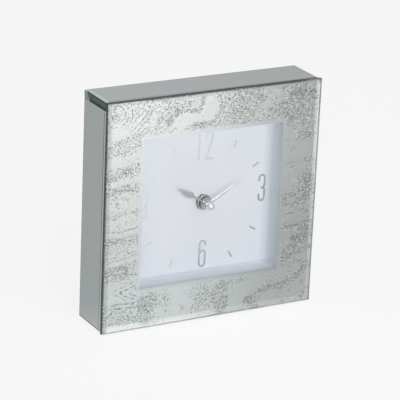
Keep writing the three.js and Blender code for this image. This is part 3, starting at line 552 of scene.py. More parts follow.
def lathe(bm, profile, cx=AXIS_X, cz=AXIS_Z, sides=48, mat=0, wobble=None):
    """A turned form about the y direction through (cx, cz): profile of (radius, y). Ends at r = 0 are closed, others meet."""
    rings = []
    for r, y in profile:
        if r < 1e-6:
            rings.append([bm.verts.new((cx, y, cz))])
            continue
        ring = []
        for i in range(sides):
            a = 2 * math.pi * i / sides
            rr = r * (wobble(a, r, y) if wobble else 1.0)
            ring.append(bm.verts.new((cx + rr * math.cos(a), y, cz + rr * math.sin(a))))
        rings.append(ring)
    closed = not (len(rings[0]) == 1 and len(rings[-1]) == 1)
    pairs = list(zip(rings, rings[1:]))
    if closed:
        pairs.append((rings[-1], rings[0]))
    for k, (a, b) in enumerate(pairs):
        if len(a) == 1 and len(b) == 1:
            continue
        slot = mat if isinstance(mat, int) else mat[min(k, len(mat) - 1)]
        for i in range(sides):
            j = (i + 1) % sides
            if len(a) == 1:
                f = bm.faces.new((a[0], b[j], b[i]))
            elif len(b) == 1:
                f = bm.faces.new((a[i], a[j], b[0]))
            else:
                f = bm.faces.new((a[i], a[j], b[j], b[i]))
            f.material_index = slot
    return bm


def solid_of(outline, y0, y1, name="tmp"):
    """A flat outline (x, z) as a plain plate between two depths, as a temporary object in mm."""
    bm = bmesh.new()
    front = [bm.verts.new((x, y0, z)) for x, z in outline]
    back = [bm.verts.new((x, y1, z)) for x, z in outline]
    bm.faces.new(front)
    bm.faces.new(back[::-1])
    n = len(outline)
    for i in range(n):
        j = (i + 1) % n
        bm.faces.new((front[i], back[i], back[j], front[j]))
    bmesh.ops.recalc_face_normals(bm, faces=bm.faces)
    mesh = bpy.data.meshes.new(name)
    bm.to_mesh(mesh)
    bm.free()
    o = bpy.data.objects.new(name, mesh)
    SCENE.collection.objects.link(o)
    return o


def temp_object(bm, name="tmp"):
    bmesh.ops.recalc_face_normals(bm, faces=bm.faces)
    mesh = bpy.data.meshes.new(name)
    bm.to_mesh(mesh)
    bm.free()
    o = bpy.data.objects.new(name, mesh)
    SCENE.collection.objects.link(o)
    return o


def combine(base, others, op="UNION"):
    """Booleans on temporary objects; the result is a bmesh in the same units."""
    for other in others:
        m = base.modifiers.new("b", "BOOLEAN")
        m.operation = op
        m.solver = "EXACT"
        m.object = other
        dg = bpy.context.evaluated_depsgraph_get()
        mesh = bpy.data.meshes.new_from_object(base.evaluated_get(dg), depsgraph=dg)
        base.modifiers.clear()
        base.data = mesh
    bm = bmesh.new()
    bm.from_mesh(base.data)
    for o in [base, *others]:
        bpy.data.objects.remove(o)
    return bm


def bevelled(bm, width, segments=2, angle=30.0):
    """Rounds every edge of a bmesh that is sharper than the angle."""
    bmesh.ops.remove_doubles(bm, verts=bm.verts, dist=1e-4)
    bmesh.ops.dissolve_limit(bm, angle_limit=radians(0.5), verts=bm.verts, edges=bm.edges)
    edges = [e for e in bm.edges if len(e.link_faces) == 2 and e.calc_face_angle(0.0) > radians(angle)]
    bmesh.ops.bevel(bm, geom=edges, offset=width, segments=segments, profile=0.5, affect="EDGES", clamp_overlap=True)
    return bm


# ------------------------------------------------------------------ smooth random fields for the marbling
def lattice(seed, n=64):
    return np.random.RandomState(seed).rand(n, n)


def field(x, z, size, seed, octaves=3):
    """Smooth noise in 0..1 over the face; size is the coarsest feature in mm."""
    total, weight, amp = np.zeros_like(x), 0.0, 1.0
    for k in range(octaves):
        g = lattice(seed + 17 * k)
        u, v = x / size * 2**k + 31.7, z / size * 2**k + 47.3
        i, j = np.floor(u).astype(int), np.floor(v).astype(int)
        fu, fv = u - i, v - j
        fu, fv = fu * fu * (3 - 2 * fu), fv * fv * (3 - 2 * fv)
        i0, i1, j0, j1 = i % 64, (i + 1) % 64, j % 64, (j + 1) % 64
        total += amp * ((g[i0, j0] * (1 - fu) + g[i1, j0] * fu) * (1 - fv) + (g[i0, j1] * (1 - fu) + g[i1, j1] * fu) * fv)
        weight += amp
        amp *= 0.5
    return total / weight


def step(v):
    v = np.clip(v, 0.0, 1.0)
    return v * v * (3 - 2 * v)


def patch(x, z, cx, cz, rx, rz, deg=0.0, soft=0.35):
    a = radians(deg)
    u = (x - cx) * math.cos(a) + (z - cz) * math.sin(a)
    v = -(x - cx) * math.sin(a) + (z - cz) * math.cos(a)
    d = np.sqrt((u / rx) ** 2 + (v / rz) ** 2)
    return step((1 + soft - d) / (2 * soft))


def trail(x, z, pts, width, soft=1.2):
    best = np.full_like(x, 1e9)
    for (ax, az), (bx, bz) in zip(pts, pts[1:]):
        dx, dz = bx - ax, bz - az
        t = np.clip(((x - ax) * dx + (z - az) * dz) / (dx * dx + dz * dz), 0, 1)
        best = np.minimum(best, np.hypot(x - ax - t * dx, z - az - t * dz))
    return step((width + soft - best) / (2 * soft))


def marbling(x, z):
    """Speck cover (0..1), strength of the ripple lines (0..1), the coordinates along and across the grain, then the
    rim's painted highlight under the bevel and a field of painted shade along the edges.
    """
    wx = x + 2.6 * (field(x, z, 16, 3) - 0.5) + 1.5 * (field(x, z, 4, 9) - 0.5)
    wz = z + 2.2 * (field(x, z, 16, 5) - 0.5) + 1.5 * (field(x, z, 4, 13) - 0.5)
    left = step((-43 - x) / 8)
    right = step((x - 44) / 8)
    top = step((z - 46) / 5)
    cover = np.full_like(x, 0.05)
    # the left side's bands rise to the right, steeper in some places
    slope = np.interp(z, [-70, -60, -52, -36, -26, -16, -7, 5, 22, 30, 40, 46], [-0.04, -0.03, 0.05, 0.19, 0.17, 0.08, 0.08, 0.04, 0.05, 0.08, 0.20, 0.26])
    t = wz - slope * (wx + 62)

    def band(a, b, value, where=left, soft=0.8, line=t):
        nonlocal cover
        inside = step((line - a) / soft + 0.5) * step((b - line) / soft + 0.5)
        cover = cover + inside * where * value

    def blot(cx, cz, rx, rz, value, deg=0.0, soft=0.45, where=1.0):
        nonlocal cover
        cover = cover + value * patch(wx, wz, cx, cz, rx, rz, deg, soft) * where

    def vein(pts, width, value, soft=1.2):
        nonlocal cover
        cover = cover + value * trail(wx, wz, pts, width, soft)

    def clear(keep):
        nonlocal cover
        cover = cover * (1 - keep)

    # left side, from the top down
    band(40.5, 52, 0.30)
    blot(-63, 47.5, 8, 3, 0.16, 8)
    band(25.2, 33.2, 0.36)
    blot(-58.5, 29.5, 4.2, 3.2, 0.26)
    blot(-68, 26.5, 6, 1.2, 0.2)
    band(15.6, 21.2, 0.42)
    blot(-62, 17.5, 7, 2.0, 0.2)
    for cx, cz, r, v in ((-67.5, 13.2, 2.6, 0.5), (-62, 12.2, 1.6, 0.55), (-58.8, 11.2, 1.5, 0.6), (-51, 12.8, 1.3, 0.5), (-66, 9.0, 1.5, 0.3), (-58, 8.5, 1.2, 0.35), (-53, 8.0, 1.5, 0.3)):
        blot(cx, cz, r, r * 0.5, v, 0, 0.6)
    band(1.3, 3.6, 0.20, soft=1.0)
    for cx, cz, r in ((-69, 0.4, 1.2), (-60, -2.4, 0.8), (-67, -1.0, 0.8), (-52, 0.6, 1.4)):
        blot(cx, cz, r, r * 0.6, 0.5, 0, 0.6)
    band(-8.8, -6.6, 0.14)
    band(-22.6, -16.0, 0.17)
    band(-16.2, -11.8, 0.50)
    blot(-64, -14.4, 6, 1.5, 0.25)
    band(-28.2, -23.8, 0.06)
    band(-40.6, -30.2, 0.46, left * (0.45 + 0.55 * step((-55 - x) / 4)))
    blot(-61, -34.0, 6, 3.6, 0.22)
    blot(-70, -38, 4, 3, 0.15)
    clear(0.6 * step((-41.4 - t) / 0.8) * step((t + 56.8) / 0.8) * left)
    blot(-52, -50, 4, 4, 0.14, 0, 0.5)
    band(-58.6, -57.0, 0.34, soft=0.7)
    band(-61.4, -59.6, 0.42, soft=0.7)
    band(-71, -61.4, 0.20)
    blot(-58, -67, 6, 3, 0.16)
    # top left: rings on a pale ground, then slanting strokes
    blot(-66.5, 67, 9.5, 8.5, 0.22, 0, 0.3)
    blot(-49, 70, 8, 4, 0.22)
    blot(-54, 58, 5, 4, 0.12, 45)
    clear(0.85 * patch(wx, wz, -66.5, 55.5, 5.0, 5.0, 0, 0.3))
    for k in range(4):
        vein([(-47 + 5.0 * k, 50), (-38 + 4.6 * k, 60), (-31 + 3.0 * k, 70)], 1.1, 0.26, 1.2)
    blot(-40, 66, 12, 8, 0.20, 30)
    blot(-22, 70.5, 16, 3.0, 0.22)
    vein([(-33, 56), (-31, 60.3), (-26, 64.8), (-17.7, 64.2), (-11, 63.7), (-9.6, 67), (-9.0, 72)], 1.3, 0.60, 0.9)
    blot(-19, 67.3, 9, 2.8, 0.24, 4, 0.4)
    blot(-31, 61.5, 5, 4.5, 0.22, 40, 0.4)
    vein([(-40, 57), (-38, 62)], 1.4, 0.30)
    vein([(-20, 52), (-12, 54.6), (-4, 54.6), (4, 56)], 1.6, 0.40, 1.2)
    vein([(-24, 50.8), (-10, 51.6), (6, 52.0)], 1.0, 0.30, 1.2)
    vein([(1.0, 71.5), (4.2, 66.4), (4.8, 61.2), (1.8, 57.6), (-3.5, 55.2), (-9.3, 55.3), (-14.3, 56)], 1.5, 0.42, 1.2)
    clear(0.97 * patch(wx, wz, -3.4, 64.5, 5.4, 8.2, -4, 0.15))
    clear(0.92 * patch(wx, wz, -21.5, 58.6, 8.0, 3.6, 18, 0.25))
    blot(22, 62, 16, 13, 0.40, 0, 0.3, top)
    blot(17.5, 62, 4, 6, 0.16, 20)
    blot(56, 59, 19, 11, 0.38, 0, 0.3)
    clear(0.78 * trail(wx, wz, [(31.5, 56), (33, 59), (39, 63.5), (49, 69)], 3.0, 1.2))
    blot(64, 66.9, 9.5, 2.0, 0.95, -2, 0.35)
    blot(57, 68.2, 6, 1.2, 0.30, 3, 0.4)
    blot(61, 71.6, 14, 1.7, 0.26)
    # right side
    blot(56, 47, 3.2, 4.5, 0.22, 0, 0.5)
    blot(67, 46.5, 6.5, 3.2, 0.18)
    clear(0.93 * patch(wx, wz, 60, 29.5, 18, 7.2, 0, 0.15))
    blot(66, 39.2, 7.0, 2.6, 0.42, 12)
    blot(57, 30.5, 4, 1.2, 0.12)
    clear(0.75 * patch(wx, wz, 55, 12, 7, 12, 0, 0.3))
    blot(69, 21.8, 4.6, 1.3, 0.42)
    blot(56, 19.5, 3, 2.0, 0.20)
    blot(71, 15.5, 3, 1.6, 0.30)
    blot(67.5, 9.5, 7.0, 3.0, 0.34, 12)
    blot(69, 2, 5.5, 6.5, 0.40)
    blot(59, -4, 9, 5.5, 0.32)
    vein([(56.5, -12.7), (64, -12.2), (74, -11.4)], 0.7, 0.42, 0.9)
    clear(0.85 * patch(wx, wz, 62, -15.8, 14, 1.8, 2, 0.3))
    blot(70, -21, 5, 3.0, 0.42, 20)
    blot(59, -21.8, 7, 2.3, 0.38)
    blot(66.5, -28, 7, 4.0, 0.30, 25)
    vein([(72, -27), (66, -32), (58, -38), (55, -43)], 3.6, 0.30, 2.0)
    vein([(74, -37), (66, -40), (60, -42), (54, -45)], 1.5, 0.36, 1.2)
    blot(60.5, -30, 1.6, 1.8, 0.5)
    vein([(62, -45.6), (67, -47), (73, -48)], 0.5, 0.55, 0.6)
    # bottom strip
    blot(-43.5, -58.2, 7.0, 6.0, 0.52, 5, 0.25)
    blot(-44, -67, 6.0, 6.0, 0.34, 0, 0.4)
    blot(-41, -72.2, 6.5, 1.3, 0.42, -5, 0.4)
    blot(-32, -58.5, 5.5, 6.0, 0.22)
    clear(0.93 * patch(wx, wz, -20, -62, 7.0, 14, 0, 0.2))
    blot(-18.5, -66, 2.0, 2.6, 0.22)
    blot(-5, -63, 8.0, 11, 0.15, 0, 0.4)
    blot(-4, -60, 5.0, 5, 0.12)
    blot(8.6, -63, 5.4, 12.5, 0.42, 3, 0.28)
    blot(8, -73.5, 5.5, 2.6, 0.25)
    vein([(9, -54.5), (14, -54.4), (20, -53.6), (26, -53.0)], 1.2, 0.40, 0.9)
    clear(0.96 * patch(wx, wz, 20.5, -65, 6.2, 9.0, 0, 0.2))
    clear(0.85 * patch(wx, wz, 38, -55, 13, 4.5, 6, 0.25))
    clear(0.80 * patch(wx, wz, 52, -69, 23, 6.0, 10, 0.3))
    vein([(28, -69), (31, -67.2), (35, -66.2), (40, -63), (48, -62), (54, -62.4), (58, -60.3), (65, -57.8), (69, -53.7), (75, -50.5)], 2.1, 0.42, 1.4)
    vein([(28, -68.7), (31.7, -71.2), (36.7, -75.3)], 1.2, 0.46, 1.0)
    blot(33, -72, 4.5, 3.0, 0.22)
    for cx, cz in ((50, -70), (55, -73), (60, -66.5), (60, -73), (69, -71.8), (72, -68.5), (68.5, -72.5), (70, -61.5), (73, -66)):
        blot(cx, cz, 1.3, 1.0, 0.45, 0, 0.6)
    blot(-71, 66, 4, 9, 0.16, 0, 0.4)
    # general unevenness; the right side is busier
    cover *= (0.82 + 0.36 * field(x, z, 7, 21, 2)) * (1.0 + 0.22 * step((x - 25) / 35))

    # ripple lines
    def line_at(v, x0, x1, strength):
        return strength * step((1.15 - np.abs(t - v)) / 0.5) * step((x - x0) / 2) * step((x1 - x) / 2)

    ripple = 0.85 * step((t - 40.6) / 1.0) * step((49.6 - t) / 1.2) * left
    for v, x0, x1, strength in ((2.2, -71, -49, 0.45), (-7.7, -71, -51, 0.95), (-12.2, -72, -48, 0.6), (-24.6, -71, -48, 0.85), (-26.6, -72, -48, 0.85), (-40.8, -72, -49, 0.5), (-43.3, -70, -49, 0.4), (-57.8, -72, -55, 0.7), (-60.3, -74, -47, 1.0)):
        ripple = np.maximum(ripple, line_at(v, x0, x1, strength))
    knots = ((-76, -76.2), (-60.3, -59.4), (-57.8, -57.0), (-43.3, -42.6), (-40.8, -40.2), (-26.6, -25.8), (-24.6, -23.4), (-12.2, -11.4), (-7.7, -6.6), (2.2, 3.0), (42.9, 43.8), (44.3, 46.2), (45.6, 48.6), (47.0, 51.0), (48.4, 53.4), (80, 85.4))
    across = np.interp(t, [k[0] for k in knots], [k[1] for k in knots])
    ring1 = np.hypot(wx + 67.5, wz - 67)
    zone1 = step((ring1 - 2.0) / 1.0) * step((11.8 - ring1) / 1.0)
    def switch(zone, strength, value):
        nonlocal ripple, across
        fade = np.clip(np.abs(2 * zone - 1) * 1.3 - 0.3, 0, 1)
        ripple = np.where(zone > 0.5, strength, ripple) * fade
        across = np.where(zone > 0.5, value, across)

    switch(zone1, 0.9 * step((wx + 68.5 + (wz - 67) * 0.4) / 3) * step((74.5 - z) / 2), ring1 + 0.2)
    zone3 = step((x + 60) / 4) * step((-29 - x) / 4) * step((z - 49.5) / 1.5) * (1 - zone1)
    switch(zone3, 0.6 * step((0.62 - field(x, z, 9, 31, 1)) / 0.2), (wz - wx) * 0.62)
    ring2 = np.hypot(wx + 3.2, (wz - 64) * 0.78)
    zone2 = step((ring2 - 6.2) / 0.8) * step((14.0 - ring2) / 2) * step((z - 50) / 2) * step((x + 15) / 4)
    switch(zone2, 0.8 * step((wx + 6 - (wz - 60) * 0.5) / 5), ring2 + 0.3)
    # nested arrowheads on the lower left
    for ax, az in ((-67.8, -48.8),):
        chev = np.abs(wz - az + 0.15 * (wx - ax)) * 2.0 - (wx - ax)
        zone4 = step((x + 70) / 2) * step((-47.5 - x) / 3) * step((z + 56.3) / 1.5) * step((-42.6 - z) / 1.5) * step((2.5 - chev) / 2)
        switch(zone4, 0.8 + 0 * x, chev * 0.42 + 0.6)
    tilt = step((x - 20) / 30) * step((30 - z) / 30)
    across = across - tilt * 0.35 * (wx - 40)
    # the plain silver margin round the window, and the foil's rim under the bevel: rim paints a highlight there, with a
    # pale ring of the marbling at the top; the other field paints shade along the four edges and at the window's lower
    # lip, and darkens one dark blot
    off = np.maximum(np.abs(x), np.abs(z))
    keep = step((off - 50.6) / 0.9)
    cover, ripple = cover * keep, ripple * keep
    rim = np.maximum(
        step((x - 71.4) / 1.7) * (0.40 + 0.12 * step((z + 10) / 60)),
        step((-70.5 - z) / 1.4) * (0.24 + 0.71 * (1 - step((x + 26) / 44))) * (1 - 0.38 * step((x + 52) / 8) * step((-8 - x) / 8) * (1 - step((-72.4 - z) / 1.2))),
    )
    rim = np.maximum(rim, 0.15 * step((1.0 - np.abs(ring2 - 9.0)) / 0.6) * step((x - 0.5) / 2) * step((z - 56) / 2))
    dim = np.maximum((0.26 * step((-70.6 - x) / 1.2) + 0.14 * step((-72.6 - x) / 0.9) + 0.40 * step((-73.0 - x) / 0.6)) * (1 - 0.5 * step((z - 56) / 8)), 0.92 * step((z - 72.85 - 0.4 * step((-44 - x) / 8) - 0.22 * step((x + 20) / 8)) / 0.75) * (1 - 0.55 * step((x - 61) / 7)))
    dim = np.maximum(dim, np.maximum((0.4 + 0.3 * (1 - step((x - 2) / 20)) + 0.25 * step((x + 52) / 8) * (1 - step((x - 35) / 12))) * step((-74.35 - z) / 0.3), 0.4 * step((x - 74.3) / 0.3)))
    rim = np.where(dim > 0.2, rim * 0.3, rim)
    dim = np.maximum(dim, 0.085 * (1 - step((off - 50.2) / 1.0)) * step((-47.5 - z) / 1.0))
    dim = np.maximum(dim, 0.26 * patch(wx, wz, 62.5, 66.9, 10.0, 2.0, -2, 0.5))
    return np.clip(cover, 0, 1), np.clip(ripple, 0, 1), wx, wz, across, np.clip(rim, 0, 1), np.clip(dim, 0, 1)


# ------------------------------------------------------------------ front glass and mirror panels
def slab(bm, centre, u, v, n, hu, hv, thick, bevel, drop, arris, mats, groove=0.0, plain=None, wide=None):
    """A glass plate: outer face towards n at `centre`, half sizes hu and hv, with a ground bevel `bevel` wide and `drop` deep,
    a fine arris, cut edges and a back. mats gives the slots of the face, bevel, edge and back. plain maps a side
    ("u-", "u+", "v-", "v+") that only has a rubbed-down edge to that edge's slot; wide gives a side a wider arris."""
    centre, u, v, n = map(Vector, (centre, u, v, n))
    plain, wide = plain or {}, wide or {}

    def ring(kind):
        """kind: 0 face, 1 groove, 2 arris, 3 and 4 edge, 5 back."""
        out = []
        for s, t in ((-1, -1), (1, -1), (1, 1), (-1, 1)):
            cut = {}
            for side in ("u-" if s < 0 else "u+", "v-" if t < 0 else "v+"):
                a = wide.get(side, arris)
                cut[side[0]] = (0.8, 0.7, 0.15, 0.0, 0.0, 0.15)[kind] if side in plain else (bevel, bevel - groove, a, 0.0, 0.0, min(a, 0.3))[kind]
            low = any(side in plain for side in ("u-" if s < 0 else "u+", "v-" if t < 0 else "v+"))
            d, e = (0.05, 0.15) if low else (drop, arris)
            depth = (0.0, d * 0.45, d, d + e, thick - min(e, 0.3), thick)[kind]
            out.append(bm.verts.new(centre + u * (s * (hu - cut["u"])) + v * (t * (hv - cut["v"])) - n * depth))
        return out

    rings = [(ring(0), None)]
    if groove:  # the ground facet starts with a fine step
        rings.append((ring(1), mats[2]))
    rings += [(ring(2), mats[1]), (ring(3), mats[2]), (ring(4), mats[2]), (ring(5), mats[2])]
    f = bm.faces.new(rings[0][0])
    f.material_index = mats[0]
    for (a, _), (b, m) in zip(rings, rings[1:]):
        for i, side in enumerate(("v-", "u+", "v+", "u-")):
            j = (i + 1) % 4
            f = bm.faces.new((a[i], a[j], b[j], b[i]))
            f.material_index = plain[side] if side in plain and m in (mats[1], mats[2]) and b is not rings[-1][0] else m
    f = bm.faces.new(rings[-1][0][::-1])
    f.material_index = mats[3]
    return bm


bm = slab(bmesh.new(), (0, 0, 0), (1, 0, 0), (0, 0, 1), (0, -1, 0), FACE / 2, FACE / 2, GLASS_T, GLASS_BEVEL, GLASS_BEVEL_DEPTH - 0.02, 0.12, (0, 1, 2, 3))
# painted shade: the top edge gets the darkest copy of the edge material
for f in bm.faces:  # the top edge is the darkest
    if f.material_index == 2 and f.calc_center_median().z > FACE / 2 - 0.2 and abs(f.calc_center_median().x) < 1:
        f.material_index = 4
glass = finish_mesh("front_glass_sheet", bm, [M["glass_face"], M["glass_bevel"], M["glass_edge"], M["glass_back"], M["glass_edge_top_painted_shade"]], sharp=3)
settle(glass, "case", ["front_glass"])

# the cut edges shine pale where they are seen from inside the sheet: a thin pale lining just within them paints that
# reflection, and a dark lining nearer the front paints shade
for part, y0, y1, mat in (("edge_lining_painted_reflection", 1.24, 2.96, "painted_edge_reflection"), ("edge_lining_painted_shade", 0.62, 1.22, "edge_shade")):
    bm = bmesh.new()
    loops = []
    for half, y in ((FACE / 2 - 0.03, y0), (FACE / 2 - 0.03, y1), (FACE / 2 - 0.08, y1), (FACE / 2 - 0.08, y0)):
        loops.append([bm.verts.new((sx * half, y, sz * half)) for sx, sz in ((-1, -1), (1, -1), (1, 1), (-1, 1))])
    for a, b in zip(loops, loops[1:] + loops[:1]):
        for i in range(4):
            j = (i + 1) % 4
            bm.faces.new((a[i], a[j], b[j], b[i]))
    settle(finish_mesh(part, bm, [M[mat]], sharp=3), "case")

B = BODY / 2
yc, hy = (PANEL_Y0 + DEPTH) / 2, (DEPTH - PANEL_Y0) / 2
IN_X = B - MIRROR_T - 0.1
mid, tall = (IN_X - B) / 2, (IN_X + B) / 2  # the upright panels reach the bottom and end under the top one
for name, centre, u, v, n, hu, hv in (
    ("top_mirror_panel", (0, yc, B), (1, 0, 0), (0, 1, 0), (0, 0, 1), B, hy),
    ("bottom_mirror_panel", (0, yc, -B), (1, 0, 0), (0, 1, 0), (0, 0, -1), IN_X, hy),
    ("left_mirror_panel", (-B, yc, mid), (0, 0, 1), (0, 1, 0), (-1, 0, 0), tall, hy),
    ("right_mirror_panel", (B, yc, mid), (0, 0, 1), (0, 1, 0), (1, 0, 0), tall, hy),
):
    upright = name[:4] in ("left", "righ")
    plain = {"v+": 4, "u-": 2} if upright else {"v+": 4, "u+": 4} if name == "top_mirror_panel" else {"v+": 4}
    wide = {"v-": 2.3} if name == "top_mirror_panel" else {}
    bm = slab(bmesh.new(), centre, u, v, n, hu, hv, MIRROR_T, 3.0, 0.30, 0.7, (0, 1, 2, 3), 0.36, plain, wide)
    if name == "top_mirror_panel":  # its ground facet at the open end runs into the face without a step
        for f in bm.faces:
            if f.material_index == 2 and all(B - q.co.z < 0.15 and q.co.x < 3.1 - B for q in f.verts):
                f.material_index = 1
    # the cut end of the top panel, and the facet below it, turn plain grey towards the back
    if name == "top_mirror_panel" or upright:
        cut = [f for f in bm.faces if f.material_index in (1, 2) and abs(f.calc_center_median().x) > B - 1.2 and (upright or abs(f.normal.x) > 0.5)]
        cut = [f for f in cut if not upright or f.calc_center_median().z > IN_X - 2.8]
        geom = list({e for f in cut for e in [*f.verts, *f.edges]}) + cut
        if upright:
            bmesh.ops.bisect_plane(bm, geom=geom, plane_co=(0, 0, IN_X - 1.5), plane_no=(0, 0, 1))
            for f in bm.faces:
                if f.material_index == 1 and f.calc_center_median().z > IN_X - 1.5:
                    f.material_index = 2
                elif f.material_index in (1, 2) and all(q.co.z > IN_X - 3.1 and B - abs(q.co.x) < 0.31 for q in f.verts):
                    f.material_index = 0
        cut = [f for f in bm.faces if f.material_index == 2 and f.calc_center_median().z > IN_X - 1.6 and abs(f.calc_center_median().x) > B - 1.2]
        geom = list({e for f in cut for e in [*f.verts, *f.edges]}) + cut
        bmesh.ops.bisect_plane(bm, geom=geom, plane_co=(0, 30.6, B), plane_no=(0, 6.5, -5.0))
        for f in bm.faces:
            c = f.calc_center_median()
            if f.material_index == 2 and c.z > IN_X - 1.6 and abs(c.x) > B - 1.2 and 6.5 * (c.y - 30.6) - 5.0 * (c.z - B) > 0:
                f.material_index = 4
            elif f.material_index == 2 and not upright and abs(c.x) > B - 0.3:
                f.material_index = 5
    o = finish_mesh(name.replace("panel", "plate"), bm, [M["mirror"], M["mirror_bevel"], M["mirror_edge"], M["backing"], M["end_grey"], M["end_edge"]], sharp=2)
    settle(o, "case", [name])

# ------------------------------------------------------------------ marbled foil
half, win = FACE / 2 - 0.15, WINDOW / 2
# 1 mm cells, finer ones at the outer rim
rim_steps = np.array([0.0, 0.3, 0.6, 0.9, 1.3, 1.7, 2.1, 2.5, 2.9, 3.4, 4.2])
inner_steps = np.linspace(5.0, half - win, 22)
low = -half + np.concatenate([rim_steps, inner_steps])
line = np.concatenate([low[:-1], np.linspace(-win, win, 99)[:-1], -low[::-1]])
gx, gz = np.meshgrid(line, line, indexing="ij")
n = len(line)
a0, a1 = len(low) - 1, len(low) - 1 + 98  # indices of the window's edges
cover, ripple, along, upward, across, rim, dim = marbling(gx, gz)
verts, ids = [], -np.ones((n, n), int)
for i in range(n):
    for j in range(n):
        if a0 < i < a1 and a0 < j < a1:
            continue
        ids[i, j] = len(verts)
        verts.append((gx[i, j], FOIL_Y0, gz[i, j]))
faces, slots = [], []
for i in range(n - 1):
    for j in range(n - 1):
        if a0 <= i < a1 and a0 <= j < a1:
            continue
        faces.append((ids[i, j], ids[i + 1, j], ids[i + 1, j + 1], ids[i, j + 1]))
        slots.append(0)
used = ids[ids >= 0]


def rim_loop(lo, hi):
    return [(i, lo) for i in range(lo, hi)] + [(hi, j) for j in range(lo, hi)] + [(i, hi) for i in range(hi, lo, -1)] + [(lo, j) for j in range(hi, lo, -1)]


back_id = {}
for lo, hi in ((0, n - 1), (a0, a1)):
    loop = rim_loop(lo, hi)
    for i, j in loop:
        back_id[(i, j)] = len(verts)
        verts.append((gx[i, j], FOIL_Y1, gz[i, j]))
    for p, q in zip(loop, loop[1:] + loop[:1]):
        quad = (ids[p], ids[q], back_id[q], back_id[p])
        faces.append(quad if lo == 0 else quad[::-1])
        slots.append(1)
outer, inner = rim_loop(0, n - 1), rim_loop(a0, a1)
per_o, per_i = n - 1, a1 - a0
for k in range(4):
    o_part = [outer[(k * per_o + m) % len(outer)] for m in range(per_o + 1)]
    i_part = [inner[(k * per_i + m) % len(inner)] for m in range(per_i + 1)]
    faces.append([back_id[p] for p in o_part] + [back_id[p] for p in reversed(i_part)])
    slots.append(1)
mesh = bpy.data.meshes.new("marbled_foil_sheet")
mesh.from_pydata([row(*v) for v in verts], [], [[int(i) for i in f] for f in faces])
mesh.validate()
count = len(mesh.vertices)
front = np.argwhere(ids >= 0)
order = ids[front[:, 0], front[:, 1]]


def attribute(name, values, kind="FLOAT"):
    data = np.zeros((count, 3) if kind == "FLOAT_VECTOR" else count, np.float32)
    data[order] = values[front[:, 0], front[:, 1]]
    a = mesh.attributes.new(name, kind, "POINT")
    a.data.foreach_set("vector" if kind == "FLOAT_VECTOR" else "value", data.ravel())


attribute("cover", cover)
attribute("ripple", ripple)
attribute("rim", rim)
attribute("dim", dim)
attribute("grain", np.stack([along, upward, across], axis=-1), "FLOAT_VECTOR")
mesh.materials.append(M["foil"])
mesh.materials.append(M["foil_back"])
mesh.polygons.foreach_set("material_index", slots)
foil = bpy.data.objects.new("marbled_foil_sheet", mesh)
SCENE.collection.objects.link(foil)
bm = bmesh.new()
bm.from_mesh(mesh)
bmesh.ops.recalc_face_normals(bm, faces=bm.faces)
bm.to_mesh(mesh)
bm.free()
settle(foil, "case", ["marbled_foil"])


# ------------------------------------------------------------------ CAD nodes that keep their shape: material, softened edges
def dress(node, material, bevel=0.0, segments=2, smooth=35.0):
    o = NODES[node]
    o.data.materials.clear()
    o.data.materials.append(material)
    if bevel:
        w = o.modifiers.new("weld", "WELD")
        w.merge_threshold = 1e-6
        b = o.modifiers.new("edges", "BEVEL")
        b.width = bevel * 0.001
        b.segments = segments
        b.limit_method = "ANGLE"
        b.angle_limit = radians(40)
        b.harden_normals = True
    return o


# painted shade: the bottom wall gets the darker copy of the lining
for side in ("top", "bottom", "left", "right"):
    dress(f"reveal_{side}", M["reveal_painted_shade" if side == "bottom" else "reveal"], 0.03)
for rail in ("top_rail", "bottom_rail", "left_stile", "right_stile"):
    dress(rail, M["mdf"], 0.25)
dress("dial_plate", M["dial"], 0.03)
dress("back_panel", M["board"], 0.2)
dress("rubber_washer", M["rubber"], 0.12)
dress("stator", M["steel"], 0.05)
dress("circuit_board", M["green"], 0.05)
dress("clock_chip", M["chip"], 0.12, 3)
for node in ("centre_wheel", "third_wheel", "seconds_wheel", "intermediate_wheel", "minute_wheel"):
    dress(node, M["nylon"], 0.03)
dress("rotor", M["magnet"], 0.04)
dress("movement_case_front", M["case"], 0.15)


# the white lining runs into the dial in a small cove all round
bm = bmesh.new()
COVE = 3.0
profile = [(49.46, DIAL_Y - 0.02)]
for i in range(13):
    t = math.pi / 2 * i / 12
    profile.append((49.46 - COVE + COVE * math.sin(t), DIAL_Y - 0.02 - COVE + COVE * math.cos(t)))
loops = [[bm.verts.new((sx * h, y, sz * h)) for sx, sz in ((-1, -1), (1, -1), (1, 1), (-1, 1))] for h, y in profile]
# painted shade: the cove's bottom side gets the darker copy of the lining
for a, b in zip(loops, loops[1:] + loops[:1]):
    for i in range(4):
        j = (i + 1) % 4
        bm.faces.new((a[i], a[j], b[j], b[i])).material_index = 1 if i == 0 else 0
settle(finish_mesh("recess_cove", bm, [M["reveal"], M["reveal_painted_shade"]], sharp=40), "case")


# ------------------------------------------------------------------ dial: numbers and dashes as thin silver pieces
def smooth_path(points, per=8):
    """Catmull-Rom line through the points."""
    pts = [Vector(p) for p in points]
    pts = [pts[0] * 2 - pts[1]] + pts + [pts[-1] * 2 - pts[-2]]
    out = []
    for i in range(1, len(pts) - 2):
        p0, p1, p2, p3 = pts[i - 1 : i + 3]
        for k in range(per):
            t = k / per
            out.append(0.5 * ((2 * p1) + (p2 - p0) * t + (2 * p0 - 5 * p1 + 4 * p2 - p3) * t * t + (3 * p1 - p0 - 3 * p2 + p3) * t**3))
    out.append(pts[-2])
    return out


def arc(cx, cz, rx, rz, a0, a1, steps=10):
    return [(cx + rx * math.cos(radians(a0 + (a1 - a0) * i / steps)), cz + rz * math.sin(radians(a0 + (a1 - a0) * i / steps))) for i in range(steps + 1)]


